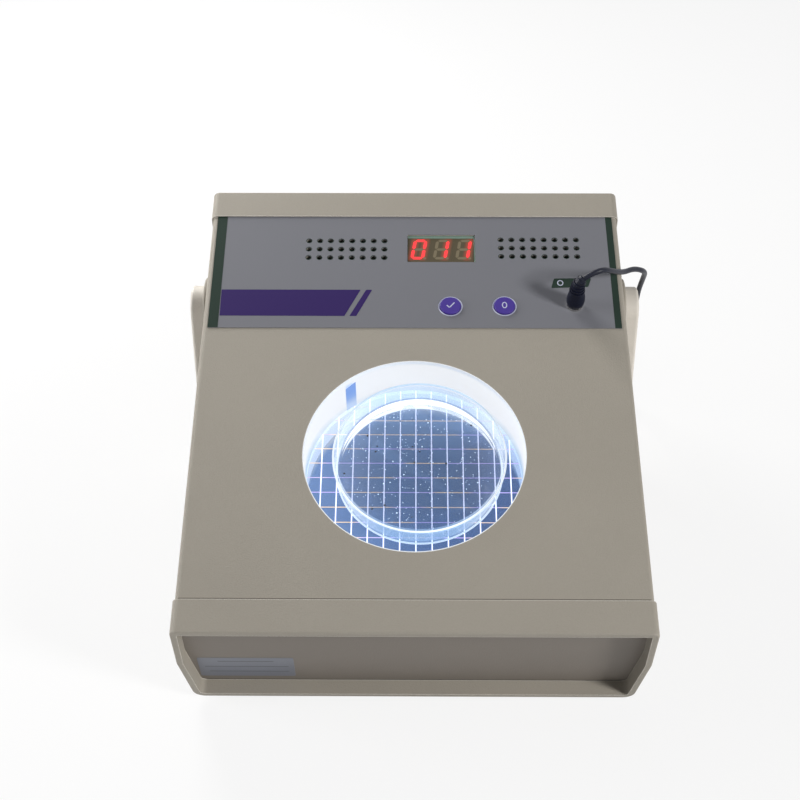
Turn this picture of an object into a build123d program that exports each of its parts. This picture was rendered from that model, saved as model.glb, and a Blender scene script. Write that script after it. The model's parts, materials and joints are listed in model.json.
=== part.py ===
from build123d import *
import os
from math import asin, atan2, cos, degrees, hypot, pi, radians, sin, tan

# Colony counter on its handle. Everything on the instrument is modelled in the case frame: x = 0 in the
# middle, y = 0 at the face of the front bezel, z = 0 under the bezels. stand_placement() then stands it
# on its handle. The cord and the pen lie on the table, so they are modelled in the final frame. Millimetres.

# Case
CASE_LENGTH = 274.1
CASE_HEIGHT = 76.3
TOP_HALF_WIDTH = 114.9
KINK_HALF_WIDTH = 115.9
BOTTOM_HALF_WIDTH = 111.7
KINK_HEIGHT = 40.0
TOP_CORNER_R = 3.5
KINK_R = 6.0
BOTTOM_CORNER_R = 6.5
FRONT_BEZEL_DEPTH = 17.6
REAR_BEZEL_DEPTH = 18.0
BEZEL_LIP = 3.3
BEZEL_WALL = 2.3
BEZEL_EDGE_R = 0.9
PANEL_RECESS = 8.0
PANEL_THICKNESS = 2.0
PANEL_CLEARANCE = 0.1
COVER_STEP = 1.0
COVER_WALL = 2.0
TONGUE_OVERLAP = 8.0
TONGUE_WALL = 2.0

# Case screws and the pillars they join
PILLAR_X = 98.0
PILLAR_YS = (44.0, 216.0)
PILLAR_R = 5.0
SCREW_R = 1.9
SCREW_HEAD_R = 3.6
SCREW_HEAD_HEIGHT = 2.4
SCREW_SOCKET = 2.5
SCREW_SEAT = 6.0
SCREW_GRIP = 18.0

# Feet
FOOT_X = 92.0
FOOT_INSET = 14.0
FOOT_R = 7.0
FOOT_HEIGHT = 5.0
FOOT_EDGE_R = 1.5
FOOT_SCREW_R = 1.5
FOOT_SCREW_HEAD_R = 3.0
FOOT_SCREW_HEAD_HEIGHT = 1.8
FOOT_SCREW_LENGTH = 9.0
FOOT_BOSS_R = 3.6
FOOT_BOSS_HEIGHT = 12.0

# Window and light well
WELL_X = 0.0
WELL_Y = 100.0
WINDOW_R = 56.3
WINDOW_EDGE = 0.4
DRUM_WALL = 1.6
LAMP_SPACE = 3.8
DIFFUSER_WALL = 1.6
DIFFUSER_CLEARANCE = 0.1
DIFFUSER_RIM = 2.4
DIFFUSER_JOINT = 6.0
DIFFUSER_JOINT_ANGLE = 126.8
PLATE_TOP = 48.3
PLATE_THICKNESS = 3.0
FLOOR_TOP = 34.6
FLOOR_THICKNESS = 1.5
DRUM_FLANGE = 4.0
DRUM_FLANGE_THICKNESS = 1.6
STRIP_LOW = 54.0
STRIP_WIDTH = 10.0
STRIP_THICKNESS = 0.5
LAMP_COUNT = 24
LAMP_SIZE = 5.0
LAMP_HEIGHT = 1.4

# Petri dish
DISH_X = 2.65
DISH_Y = 105.6
DISH_RIM_R = 45.0
DISH_BASE_R = 43.7
DISH_HEIGHT = 15.0
DISH_WALL = 1.3
DISH_BOTTOM = 1.3
DISH_LIP = 0.7
DISH_LIP_HEIGHT = 1.6
DISH_CLEARANCE = 0.1
AGAR_DEPTH = 4.0
AGAR_CLEARANCE = 0.1

# Panel overlay, with the holes that let the buzzer be heard
OVERLAY_HALF_WIDTH = 111.0
OVERLAY_FRONT_Y = 178.2
OVERLAY_THICKNESS = 0.4
HOLE_COLUMNS = 8
HOLE_ROWS = 3
HOLE_PITCH = 6.0
HOLE_R = 1.35
HOLE_GROUP_CENTRES = ((-37.8, 232.5), (69.0, 233.5))
SLOT_WIDTH = 3.4

# Display
DISPLAY_X = 14.85
DISPLAY_Y = 233.25
DIGIT_COUNT = 3
DIGIT_WIDTH = 12.45
DIGIT_HEIGHT = 19.3
DIGIT_DEPTH = 8.0
DIGIT_RECESS = 1.0
DISPLAY_CLEARANCE = 0.15
FIGURE_HEIGHT = 14.2
FIGURE_WIDTH = 7.6
FIGURE_SLANT = 9.0
STROKE = 1.7
STROKE_GAP = 0.25
SEGMENT_DEPTH = 0.5
POINT_R = 0.8
FIGURES = ("abcdef", "bc", "bc")

# Display board
BOARD_HALF_WIDTH = 73.0
BOARD_FRONT_Y = 183.0
BOARD_REAR_Y = 244.0
BOARD_THICKNESS = 1.6
STANDOFF_X = 68.5
STANDOFF_YS = (187.5, 220.0)
STANDOFF_R = 3.0
BOARD_SCREW_R = 1.25
BOARD_SCREW_HEAD_R = 2.4
BOARD_SCREW_HEAD_HEIGHT = 1.6
BOARD_SCREW_LENGTH = 5.0

# Buttons and their switches
BUTTON_CENTRES = {"calibrate_button": (19.4, 192.6), "reset_button": (48.6, 192.8)}
BUTTON_R = 5.7
BUTTON_CLEARANCE = 0.15
BUTTON_PROUD = 1.1
BUTTON_EDGE_R = 0.5
BUTTON_FLANGE_R = 7.3
BUTTON_FLANGE_THICKNESS = 1.1
BUTTON_FLANGE_GAP = 0.2
BUTTON_TRAVEL = 1.2
SWITCH_SIZE = 6.0
SWITCH_HEIGHT = 3.4
PLUNGER_R = 1.7
PLUNGER_GAP = 0.15

# Jack, plug and boot
JACK_X = 86.6
JACK_Y = 193.5
PIN_R = 1.75
JACK_BORE_R = 1.8
COLLAR_R = 3.0
COLLAR_PROUD = 1.5
JACK_NUT_R = 4.3
JACK_BODY_R = 5.5
JACK_BODY_LENGTH = 14.0
PIN_LENGTH = 14.0
PLUG_HALF_WIDTH = 4.9
PLUG_HALF_DEPTH = 4.2
PLUG_LENGTH = 10.4
BOOT_BASE_R = 3.9
BOOT_TIP_R = 2.4
BOOT_STRAIGHT = 5.0
BOOT_ARC_R = 5.6
BOOT_TURN = 60.0
BOOT_HEADING = 20.0
BOOT_RIBS = 5
BOOT_RIB_R = 0.5
BOOT_RIB_WIDTH = 1.1

# Cord of the counting pen: its points in the final frame from above the panel, over the right edge, down
# beside the handle and along the table to the coil, and then from the coil to the pen
CORD_R = 1.5
CORD_LENGTH = 1200.0
CORD_START = 5.0
LEAD_ROUTE = ((100.0, 41.4, 155.0), (107.0, 49.6, 148.0), (113.8, 59.8, 140.4), (120.5, 68.0, 137.2),
              (126.6, 73.4, 132.4), (129.8, 81.5, 125.0), (130.6, 90.5, 114.6), (130.4, 97.8, 102.0),
              (130.6, 102.6, 87.5), (130.3, 106.0, 72.0), (130.6, 108.4, 56.5), (130.4, 110.4, 41.0),
              (130.8, 112.8, 26.5), (130.6, 116.6, 13.5), (129.8, 122.2, 4.2), (123.5, 126.7, 1.6),
              (112.0, 127.5, 1.5), (96.0, 127.5, 1.5))
TAIL_ROUTE = ((96.0, 127.5, 7.5), (85.0, 127.5, 7.5), (74.5, 128.4, 3.6), (63.0, 129.7, 1.5),
              (52.0, 130.3, 2.4), (44.5, 130.0, 5.5))
COIL_MIDDLE_R = 18.0
COIL_ROWS = 3
COIL_EDGE_R = 1.2
TIE_WIDTH = 4.0
TIE_THICKNESS = 1.0
TIE_CLEARANCE = 0.1

# Counting pen, lying across the table under the rear of the case with its tip to the left
PEN_REAR_X = 22.0
PEN_Y = 130.0
PEN_R = 5.5
PEN_BARREL_LENGTH = 104.0
PEN_NOSE_LENGTH = 30.0
PEN_NOSE_R = 2.7
PEN_BORE_DEPTH = 12.0
PEN_GROOVES = 6
PEN_GROOVE_PITCH = 3.0
PEN_GROOVE_DEPTH = 0.5
PEN_BOOT_LENGTH = 14.0
PEN_BOOT_BASE_R = 3.6
TIP_R = 1.8
TIP_CLEARANCE = 0.05
TIP_TRAVEL = 1.0
TIP_PROUD = 5.0

# Boards and supply inside the case
MAIN_BOARD = (-38.0, 92.0, 176.0, 242.0)
MAIN_BOARD_HEIGHT = 9.0
CORE_CENTRE = (-62.0, 206.0)
CORE_SIZE = (42.0, 36.0, 34.0)
WINDING_SIZE = (26.0, 52.0, 24.0)
BRACKET_THICKNESS = 1.2
BRACKET_EAR = 9.0
BUZZER_X = -37.8
BUZZER_Y = 232.5
BUZZER_R = 6.0
BUZZER_HEIGHT = 5.4

# Rear panel fittings
INLET_X = 66.0
FITTING_Z = 38.0
INLET_FLANGE = (31.0, 23.5)
INLET_BODY = (27.0, 19.5)
INLET_CAVITY = (24.4, 16.4)
INLET_FLANGE_THICKNESS = 3.0
INLET_DEPTH = 22.0
INLET_CAVITY_DEPTH = 16.0
CONTACT_SIZE = (2.0, 4.0)
CONTACT_LENGTH = 13.0
CONTACT_SPREAD = 7.0
CONTACT_RISE = 2.0
FUSE_X = 30.0
FUSE_R = 6.0
FUSE_CAP_R = 7.4
FUSE_LENGTH = 26.0
ROCKER_X = -4.0
ROCKER_FLANGE = (15.0, 23.0)
ROCKER_BODY = (13.0, 20.6)
ROCKER_CAVITY = (11.2, 18.2)
ROCKER_SIZE = (10.8, 16.0)
ROCKER_PIVOT_DEPTH = 5.0
ROCKER_FLANGE_THICKNESS = 1.6
ROCKER_BODY_DEPTH = 16.0
ROCKER_CAVITY_DEPTH = 9.5
ROCKER_PIN_R = 1.2
ROCKER_PIN_CLEARANCE = 0.05
ROCKER_REST_TILT = 10.0
FITTING_CLEARANCE = 0.15

# Handle
PIVOT_Y = 213.0
PIVOT_Z = 48.0
ARM_INNER_X = 117.5
ARM_OUTER_X = 125.0
ARM_WIDTH = 24.0
ARM_LENGTH = 98.0
ARM_EDGE_R = 1.6
ARM_LEAN = 25.0
BOSS_R = 16.5
BOSS_GAP = 0.3
BOSS_SEAT_DEPTH = 3.0
PIVOT_R = 5.0
PIVOT_CLEARANCE = 0.05
PIVOT_HEAD_R = 8.0
PIVOT_HEAD_THICKNESS = 2.6
CAP_R = 9.0
CAP_THICKNESS = 1.4
CAP_RECESS = 4.6
NUT_ACROSS_FLATS = 13.0
NUT_THICKNESS = 5.0
WASHER_R = 9.0
WASHER_THICKNESS = 1.5
GRIP_WIDTH = 22.0
GRIP_THICKNESS = 13.0
GRIP_CORE_WIDTH = 16.0
GRIP_CORE_THICKNESS = 7.0
GRIP_END_GAP = 0.0
SLEEVE_GROOVES = 9
SLEEVE_GROOVE_PITCH = 9.0
SLEEVE_GROOVE_DEPTH = 0.8

# Levels that follow from the sizes above
COVER_TOP = CASE_HEIGHT - COVER_STEP
COVER_UNDER = COVER_TOP - COVER_WALL
OVERLAY_TOP = COVER_TOP + OVERLAY_THICKNESS
COVER_REAR_Y = CASE_LENGTH - REAR_BEZEL_DEPTH
BOTTOM_INSIDE = COVER_STEP + COVER_WALL
BOARD_TOP = OVERLAY_TOP - DIGIT_RECESS - DIGIT_DEPTH
PLATE_R = WINDOW_R + DIFFUSER_CLEARANCE + LAMP_SPACE
ROOM = 400.0


def block(x0, x1, y0, y1, z0, z1):
    """Box between two corners."""
    return Pos((x0 + x1) / 2, (y0 + y1) / 2, (z0 + z1) / 2) * Box(x1 - x0, y1 - y0, z1 - z0)


def post(x, y, radius, z0, z1):
    """Upright cylinder."""
    return Pos(x, y, (z0 + z1) / 2) * Cylinder(radius, z1 - z0)


def axle(x0, x1, y, z, radius):
    """Cylinder along x."""
    return Pos((x0 + x1) / 2, y, z) * Rot(0, 90, 0) * Cylinder(radius, x1 - x0)


def spindle(x, y0, y1, z, radius):
    """Cylinder along y."""
    return Pos(x, (y0 + y1) / 2, z) * Rot(90, 0, 0) * Cylinder(radius, y1 - y0)


def ring(outer, inner, z0, z1, x=WELL_X, y=WELL_Y):
    """Upright tube round the centre of the light well."""
    return post(x, y, outer, z0, z1) - post(x, y, inner, z0 - 1, z1 + 1)


def joined(pieces):
    """Separate solids kept as one group."""
    return Compound([solid for piece in pieces for solid in piece.solids()])


def in_cross_section(sketch, y0, y1):
    """Sketch drawn across x and z, carried from y0 to y1."""
    across = Plane(origin=(0, y0, 0), x_dir=(1, 0, 0), z_dir=(0, -1, 0))
    return extrude(across * sketch, amount=y1 - y0, dir=(0, 1, 0))


def case_outline(inset):
    """Outline of the case across x and z with its kinked sides, moved inwards by inset."""
    bottom, kink, top = (w - inset for w in (BOTTOM_HALF_WIDTH, KINK_HALF_WIDTH, TOP_HALF_WIDTH))
    low, high = inset, CASE_HEIGHT - inset
    sketch = make_face(Polyline((-bottom, low), (bottom, low), (kink, KINK_HEIGHT), (top, high),
                                (-top, high), (-kink, KINK_HEIGHT), close=True))
    for height, radius in ((low, BOTTOM_CORNER_R), (KINK_HEIGHT, KINK_R), (high, TOP_CORNER_R)):
        corners = [v for v in sketch.vertices() if abs(v.Y - height) < 0.01]
        sketch = fillet(corners, max(radius - inset, 0.6))
    return sketch


def bezel(depth):
    """Frame that closes one end of the case, made with its outer face at y = 0: a rim, the recess in
    front of the panel, and behind the step the wider pocket that takes panel and tongues."""
    body = in_cross_section(case_outline(0), 0, depth)
    rim = [e for e in body.edges() if e.center().Y < 0.01]
    body = fillet(rim, BEZEL_EDGE_R)
    body -= in_cross_section(case_outline(BEZEL_LIP), -1, PANEL_RECESS)
    body -= in_cross_section(case_outline(BEZEL_WALL), PANEL_RECESS, depth + 1)
    for x in (-FOOT_X, FOOT_X):
        body -= post(x, FOOT_INSET, FOOT_SCREW_R + PANEL_CLEARANCE, -1, BEZEL_WALL + 1)
    return body


def end_panel():
    """Flat panel that seats against the step of a bezel made at y = 0."""
    return in_cross_section(case_outline(BEZEL_WALL + PANEL_CLEARANCE), PANEL_RECESS,
                            PANEL_RECESS + PANEL_THICKNESS)


def at_rear(piece):
    """Piece made for the front end, turned round to the rear end."""
    return Pos(0, CASE_LENGTH, 0) * Rot(0, 0, 180) * piece


def cover_shell(z0, z1):
    """The part of the cover walls and of their end tongues that lies between two heights."""
    front, rear = FRONT_BEZEL_DEPTH, COVER_REAR_Y
    shell = in_cross_section(case_outline(COVER_STEP), front, rear)
    shell -= in_cross_section(case_outline(COVER_STEP + COVER_WALL), front - 1, rear + 1)
    inset = BEZEL_WALL + PANEL_CLEARANCE
    reach = PANEL_RECESS + PANEL_THICKNESS
    spans = ((reach, front + TONGUE_OVERLAP), (rear - TONGUE_OVERLAP, CASE_LENGTH - reach))
    for y0, y1 in spans:
        shell += in_cross_section(case_outline(inset), y0, y1) - in_cross_section(
            case_outline(inset + TONGUE_WALL), y0 - 1, y1 + 1)
    return shell & block(-ROOM, ROOM, -ROOM, ROOM, z0, z1)


def pillar_places():
    """Centres of the four pillars that hold the covers together."""
    return [(x, y) for x in (-PILLAR_X, PILLAR_X) for y in PILLAR_YS]


def foot_places(front):
    """Centres of the two front or the two rear feet."""
    y = FOOT_INSET if front else CASE_LENGTH - FOOT_INSET
    return [(-FOOT_X, y), (FOOT_X, y)]


def top_cover():
    """Upper shell with the window, the display cut-out and the holes under the overlay."""
    cover = cover_shell(KINK_HEIGHT, CASE_HEIGHT)
    for x, y in pillar_places():
        cover += post(x, y, PILLAR_R, KINK_HEIGHT, COVER_UNDER + COVER_WALL / 2)
        cover -= post(x, y, SCREW_R, KINK_HEIGHT - 1, KINK_HEIGHT + SCREW_GRIP)
    cover -= post(WELL_X, WELL_Y, WINDOW_R, COVER_UNDER - 1, CASE_HEIGHT)
    rim = [e for e in cover.edges() if e.geom_type == GeomType.CIRCLE
           and abs(e.radius - WINDOW_R) < 0.01 and e.center().Z > COVER_TOP - 0.01]
    cover = chamfer(rim, WINDOW_EDGE)
    cover -= display_opening()
    cover -= panel_holes()
    for centre_x, centre_y in HOLE_GROUP_CENTRES:
        length = (HOLE_COLUMNS - 1) * HOLE_PITCH + SLOT_WIDTH
        for row in range(HOLE_ROWS):
            y = centre_y + (row - (HOLE_ROWS - 1) / 2) * HOLE_PITCH
            slot = extrude(Pos(centre_x, y, COVER_UNDER - 1) * SlotOverall(length, SLOT_WIDTH), COVER_WALL + 2)
            cover -= slot
    for side in (-1, 1):
        cover -= pivot_hole(side)
    return cover


def bottom_cover():
    """Lower shell with screw pillars and the bosses that take the foot screws."""
    cover = cover_shell(0, KINK_HEIGHT)
    for x, y in pillar_places():
        cover += post(x, y, PILLAR_R, COVER_STEP + COVER_WALL / 2, KINK_HEIGHT)
        cover -= post(x, y, SCREW_HEAD_R + 0.3, COVER_STEP - 1, SCREW_SEAT)
        cover -= post(x, y, SCREW_R + 0.15, SCREW_SEAT - 1, KINK_HEIGHT + 1)
    inset = BEZEL_WALL + PANEL_CLEARANCE
    for x, y in foot_places(True) + foot_places(False):
        cover += post(x, y, FOOT_BOSS_R, inset, inset + FOOT_BOSS_HEIGHT)
        cover -= post(x, y, FOOT_SCREW_R, inset - 1, inset + FOOT_SCREW_LENGTH)
    return cover


def case_screws():
    """Four screws that come up through the lower pillars into the upper ones."""
    screws = []
    for x, y in pillar_places():
        low = SCREW_SEAT - SCREW_HEAD_HEIGHT
        head = post(x, y, SCREW_HEAD_R, low, SCREW_SEAT)
        head -= Pos(x, y, low) * extrude(RegularPolygon(SCREW_SOCKET / 2, 6, major_radius=False), SCREW_HEAD_HEIGHT / 2)
        screws.append(head + post(x, y, SCREW_R, SCREW_SEAT, KINK_HEIGHT + SCREW_GRIP - 2))
    return joined(screws)


def foot(x, y):
    """Rubber foot with its screw seat, rounded at the edge that meets the table."""
    body = post(x, y, FOOT_R, -FOOT_HEIGHT, 0)
    body = fillet([e for e in body.edges() if e.center().Z < -FOOT_HEIGHT + 0.01], FOOT_EDGE_R)
    body -= post(x, y, FOOT_SCREW_HEAD_R + 0.3, -FOOT_HEIGHT - 1, -FOOT_HEIGHT / 2)
    return body - post(x, y, FOOT_SCREW_R + PANEL_CLEARANCE, -FOOT_HEIGHT, 1)


def foot_screws():
    """One screw through each foot and the bezel into the boss of the lower cover."""
    screws = []
    top = BEZEL_WALL + PANEL_CLEARANCE + FOOT_SCREW_LENGTH
    seat = -FOOT_HEIGHT / 2
    for x, y in foot_places(True) + foot_places(False):
        head = post(x, y, FOOT_SCREW_HEAD_R, seat - FOOT_SCREW_HEAD_HEIGHT, seat)
        screws.append(head + post(x, y, FOOT_SCREW_R, seat, top - 1))
    return joined(screws)


def display_opening():
    """Cut-out that the digit modules look through."""
    half_x = DIGIT_COUNT * DIGIT_WIDTH / 2 + DISPLAY_CLEARANCE
    half_y = DIGIT_HEIGHT / 2 + DISPLAY_CLEARANCE
    return block(DISPLAY_X - half_x, DISPLAY_X + half_x, DISPLAY_Y - half_y, DISPLAY_Y + half_y,
                 COVER_UNDER - 1, CASE_HEIGHT)


def panel_holes():
    """Round holes for the two buttons and the collar of the jack."""
    holes = post(JACK_X, JACK_Y, COLLAR_R + PANEL_CLEARANCE, COVER_UNDER - 1, CASE_HEIGHT)
    for x, y in BUTTON_CENTRES.values():
        holes += post(x, y, BUTTON_R + BUTTON_CLEARANCE, COVER_UNDER - 1, CASE_HEIGHT)
    return holes


def panel_overlay():
    """Printed sheet on the cover, with display window, buttons, jack and two groups of small holes."""
    sheet = block(-OVERLAY_HALF_WIDTH, OVERLAY_HALF_WIDTH, OVERLAY_FRONT_Y, COVER_REAR_Y, COVER_TOP, OVERLAY_TOP)
    sheet -= display_opening()
    sheet -= panel_holes()
    dot = Circle(HOLE_R)
    for centre_x, centre_y in HOLE_GROUP_CENTRES:
        dots = GridLocations(HOLE_PITCH, HOLE_PITCH, HOLE_COLUMNS, HOLE_ROWS)
        group = [Pos(centre_x, centre_y, COVER_TOP - 1) * place * dot for place in dots]
        sheet -= [extrude(face, OVERLAY_THICKNESS + 2) for face in group]
    return sheet


def drum():
    """White drum under the window: a wall, a step that carries the grid plate, a lip that carries the
    dark floor, and a flange against the cover."""
    outer = PLATE_R + 0.1 + DRUM_WALL
    floor_low = FLOOR_TOP - FLOOR_THICKNESS
    step = PLATE_TOP - PLATE_THICKNESS
    body = ring(outer, WINDOW_R, floor_low, step)
    body += ring(WINDOW_R + 1, WINDOW_R - 4, floor_low - FLOOR_THICKNESS, floor_low)
    body += ring(outer, WINDOW_R, floor_low - FLOOR_THICKNESS, floor_low)
    body += ring(outer, PLATE_R + 0.1, step, COVER_UNDER)
    body += ring(outer + DRUM_FLANGE, outer - 0.5, COVER_UNDER - DRUM_FLANGE_THICKNESS, COVER_UNDER)
    return body


def chamber_floor():
    """Dark disc at the bottom of the well."""
    return post(WELL_X, WELL_Y, WINDOW_R - 0.1, FLOOR_TOP - FLOOR_THICKNESS, FLOOR_TOP)


def grid_plate():
    """Clear plate that the dish stands on."""
    return post(WELL_X, WELL_Y, PLATE_R, PLATE_TOP - PLATE_THICKNESS, PLATE_TOP)


def joint_gap(low, high, width):
    """Space left where the two ends of a ring meet, at the rear left of the well."""
    bar = Pos(WINDOW_R, 0, (low + high) / 2) * Box(20, width, high - low)
    return Pos(WELL_X, WELL_Y, 0) * Rot(0, 0, DIFFUSER_JOINT_ANGLE) * bar


def diffuser_ring():
    """Translucent wall between the lamps and the dish, open at its joint below the rim."""
    inner = WINDOW_R + DIFFUSER_CLEARANCE
    body = ring(inner + DIFFUSER_WALL, inner, PLATE_TOP, COVER_UNDER)
    return body - joint_gap(PLATE_TOP - 1, COVER_UNDER - DIFFUSER_RIM, DIFFUSER_JOINT)


def lamp_strip():
    """Flexible strip round the inside of the drum with one square lamp after the other."""
    outer = PLATE_R
    high = STRIP_LOW + STRIP_WIDTH
    strip = ring(outer, outer - STRIP_THICKNESS, STRIP_LOW, high)
    strip -= joint_gap(STRIP_LOW - 1, high + 1, DIFFUSER_JOINT)
    inner = outer - STRIP_THICKNESS - LAMP_HEIGHT
    for number in range(LAMP_COUNT):
        angle = DIFFUSER_JOINT_ANGLE + (number + 0.5) * 360 / LAMP_COUNT
        lamp = Pos(inner + LAMP_HEIGHT / 2 + 0.1, 0, (STRIP_LOW + high) / 2) * Box(
            LAMP_HEIGHT + 0.2, LAMP_SIZE, LAMP_SIZE)
        strip += Pos(WELL_X, WELL_Y, 0) * Rot(0, 0, angle) * lamp
    return strip


def petri_dish():
    """Dish turned about its axis: flat bottom, slightly opened wall and a thick lip."""
    low = PLATE_TOP + DISH_CLEARANCE
    high = low + DISH_HEIGHT
    lip = high - DISH_LIP_HEIGHT
    inner_rim = DISH_RIM_R - DISH_WALL - DISH_LIP
    outline = Polyline((0, low), (DISH_BASE_R, low), (DISH_RIM_R - DISH_LIP, lip), (DISH_RIM_R, lip),
                       (DISH_RIM_R, high), (inner_rim, high), (inner_rim, lip),
                       (DISH_BASE_R - DISH_WALL, low + DISH_BOTTOM), (0, low + DISH_BOTTOM), close=True)
    return Pos(DISH_X, DISH_Y, 0) * revolve(Plane.XZ * make_face(outline), Axis.Z)


def agar_disc():
    """Layer of agar in the dish."""
    low = PLATE_TOP + DISH_CLEARANCE + DISH_BOTTOM
    return post(DISH_X, DISH_Y, DISH_BASE_R - DISH_WALL - AGAR_CLEARANCE, low, low + AGAR_DEPTH)


def digit_centres():
    """Centres of the digit modules from left to right."""
    middle = (DIGIT_COUNT - 1) / 2
    return [(DISPLAY_X + (number - middle) * DIGIT_WIDTH, DISPLAY_Y) for number in range(DIGIT_COUNT)]


def segment_places():
    """Middle, length and turn of each of the seven strokes of an upright figure."""
    half_x = (FIGURE_WIDTH - STROKE) / 2
    half_y = (FIGURE_HEIGHT - STROKE) / 2
    wide, tall = 2 * half_x, half_y
    return {"a": (0, half_y, wide, 0), "g": (0, 0, wide, 0), "d": (0, -half_y, wide, 0),
            "b": (half_x, half_y / 2, tall, 90), "c": (half_x, -half_y / 2, tall, 90),
            "e": (-half_x, -half_y / 2, tall, 90), "f": (-half_x, half_y / 2, tall, 90)}


def slanted(x, y):
    """Point of an upright figure after it is slanted."""
    return (x + y * tan(radians(FIGURE_SLANT)), y)


def segment(name, centre):
    """One stroke: a bar with pointed ends, slanted with the figure, let into the module's face."""
    x, y, length, turn = segment_places()[name]
    end, half = length / 2 - STROKE_GAP, STROKE / 2
    bar = ((-end, 0), (-end + half, half), (end - half, half), (end, 0), (end - half, -half), (-end + half, -half))
    corners = []
    for along, across in bar:
        px, py = (along, across) if turn == 0 else (-across, along)
        corners.append(slanted(x + px, y + py))
    face = make_face(Polyline(*corners, close=True))
    level = OVERLAY_TOP - DIGIT_RECESS - SEGMENT_DEPTH
    return extrude(Pos(centre[0], centre[1], level) * face, SEGMENT_DEPTH)


def decimal_point(centre):
    """Round point at the lower right of a figure."""
    x, y = slanted(FIGURE_WIDTH / 2 + POINT_R / 2, -FIGURE_HEIGHT / 2 + POINT_R)
    level = OVERLAY_TOP - DIGIT_RECESS - SEGMENT_DEPTH
    return post(centre[0] + x, centre[1] + y, POINT_R, level, level + SEGMENT_DEPTH)


def display():
    """Digit modules with the strokes that are lit and the ones that are dark."""
    lit, dark, modules = [], [], []
    high = OVERLAY_TOP - DIGIT_RECESS
    for centre, figure in zip(digit_centres(), FIGURES):
        x, y = centre
        half_x, half_y = DIGIT_WIDTH / 2 - 0.02, DIGIT_HEIGHT / 2
        module = block(x - half_x, x + half_x, y - half_y, y + half_y, high - DIGIT_DEPTH, high)
        for name in "abcdefg":
            stroke = segment(name, centre)
            module -= stroke
            (lit if name in figure else dark).append(stroke)
        point = decimal_point(centre)
        module -= point
        dark.append(point)
        modules.append(module)
    return {"digit_modules": joined(modules), "lit_segments": joined(lit), "dark_segments": joined(dark)}


def standoff_places():
    """Centres of the pillars that carry the display board."""
    return [(x, y) for x in (-STANDOFF_X, STANDOFF_X) for y in STANDOFF_YS]


def display_board():
    """Board that hangs from the cover and carries digits, switches and buzzer."""
    board = block(-BOARD_HALF_WIDTH, BOARD_HALF_WIDTH, BOARD_FRONT_Y, BOARD_REAR_Y,
                  BOARD_TOP - BOARD_THICKNESS, BOARD_TOP)
    for x, y in standoff_places():
        board -= post(x, y, BOARD_SCREW_R + 0.2, BOARD_TOP - BOARD_THICKNESS - 1, BOARD_TOP + 1)
    return board


def board_standoffs():
    """Pillars between the cover and the display board."""
    pillars = []
    for x, y in standoff_places():
        pillar = post(x, y, STANDOFF_R, BOARD_TOP, COVER_UNDER)
        pillars.append(pillar - post(x, y, BOARD_SCREW_R, BOARD_TOP - 1, BOARD_TOP + BOARD_SCREW_LENGTH))
    return joined(pillars)


def board_screws():
    """Screws that hold the display board to its pillars."""
    under = BOARD_TOP - BOARD_THICKNESS
    screws = []
    for x, y in standoff_places():
        head = post(x, y, BOARD_SCREW_HEAD_R, under - BOARD_SCREW_HEAD_HEIGHT, under)
        screws.append(head + post(x, y, BOARD_SCREW_R, under, BOARD_TOP + BOARD_SCREW_LENGTH - 0.5))
    return joined(screws)


def button(centre):
    """Round push button: a cap through the cover and a flange that keeps it from falling out."""
    x, y = centre
    flange_top = COVER_UNDER - BUTTON_FLANGE_GAP
    top = OVERLAY_TOP + BUTTON_PROUD
    cap = post(x, y, BUTTON_R, flange_top - BUTTON_FLANGE_THICKNESS / 2, top)
    cap = fillet([e for e in cap.edges() if e.center().Z > top - 0.01], BUTTON_EDGE_R)
    return cap + post(x, y, BUTTON_FLANGE_R, flange_top - BUTTON_FLANGE_THICKNESS, flange_top)


def button_switches():
    """Two switches on the display board with the plungers that the buttons press."""
    flange_low = COVER_UNDER - BUTTON_FLANGE_GAP - BUTTON_FLANGE_THICKNESS
    plunger_top = flange_low - BUTTON_TRAVEL - PLUNGER_GAP
    switches = []
    for x, y in BUTTON_CENTRES.values():
        half = SWITCH_SIZE / 2
        height = min(SWITCH_HEIGHT, plunger_top - BOARD_TOP - 0.5)
        body = block(x - half, x + half, y - half, y + half, BOARD_TOP, BOARD_TOP + height)
        switches.append(body + post(x, y, PLUNGER_R, BOARD_TOP + height, plunger_top))
    return joined(switches)


def buzzer():
    """Round sounder on the display board under the left group of holes."""
    body = post(BUZZER_X, BUZZER_Y, BUZZER_R, BOARD_TOP, BOARD_TOP + BUZZER_HEIGHT)
    return body - post(BUZZER_X, BUZZER_Y, 1.0, BOARD_TOP + BUZZER_HEIGHT / 2, BOARD_TOP + BUZZER_HEIGHT + 1)


def jack_socket():
    """Socket under the cover with its collar through the panel and a bore for the plug's pin."""
    top = OVERLAY_TOP + COLLAR_PROUD
    body = post(JACK_X, JACK_Y, JACK_BODY_R, COVER_UNDER - JACK_BODY_LENGTH, COVER_UNDER)
    body += post(JACK_X, JACK_Y, COLLAR_R, COVER_UNDER, top)
    return body - post(JACK_X, JACK_Y, JACK_BORE_R, COVER_UNDER - JACK_BODY_LENGTH + 1, top + 1)


def jack_nut():
    """Round nut that clamps the jack to the panel."""
    return ring(JACK_NUT_R, COLLAR_R, OVERLAY_TOP, OVERLAY_TOP + COLLAR_PROUD, JACK_X, JACK_Y)


def plug_base():
    """Height at which the plug's body starts, on top of the jack's collar."""
    return OVERLAY_TOP + COLLAR_PROUD


def plug_pin():
    """Pin of the plug in the jack, with its pointed tip and the groove behind it."""
    low = plug_base() - PIN_LENGTH
    groove = PIN_R * 0.75
    outline = Polyline((0, low), (groove, low + 0.8), (PIN_R, low + 2.0), (groove, low + 3.2), (PIN_R, low + 4.4),
                       (PIN_R, plug_base()), (0, plug_base()), close=True)
    return Pos(JACK_X, JACK_Y, 0) * revolve(Plane.XZ * make_face(outline), Axis.Z)


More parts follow.
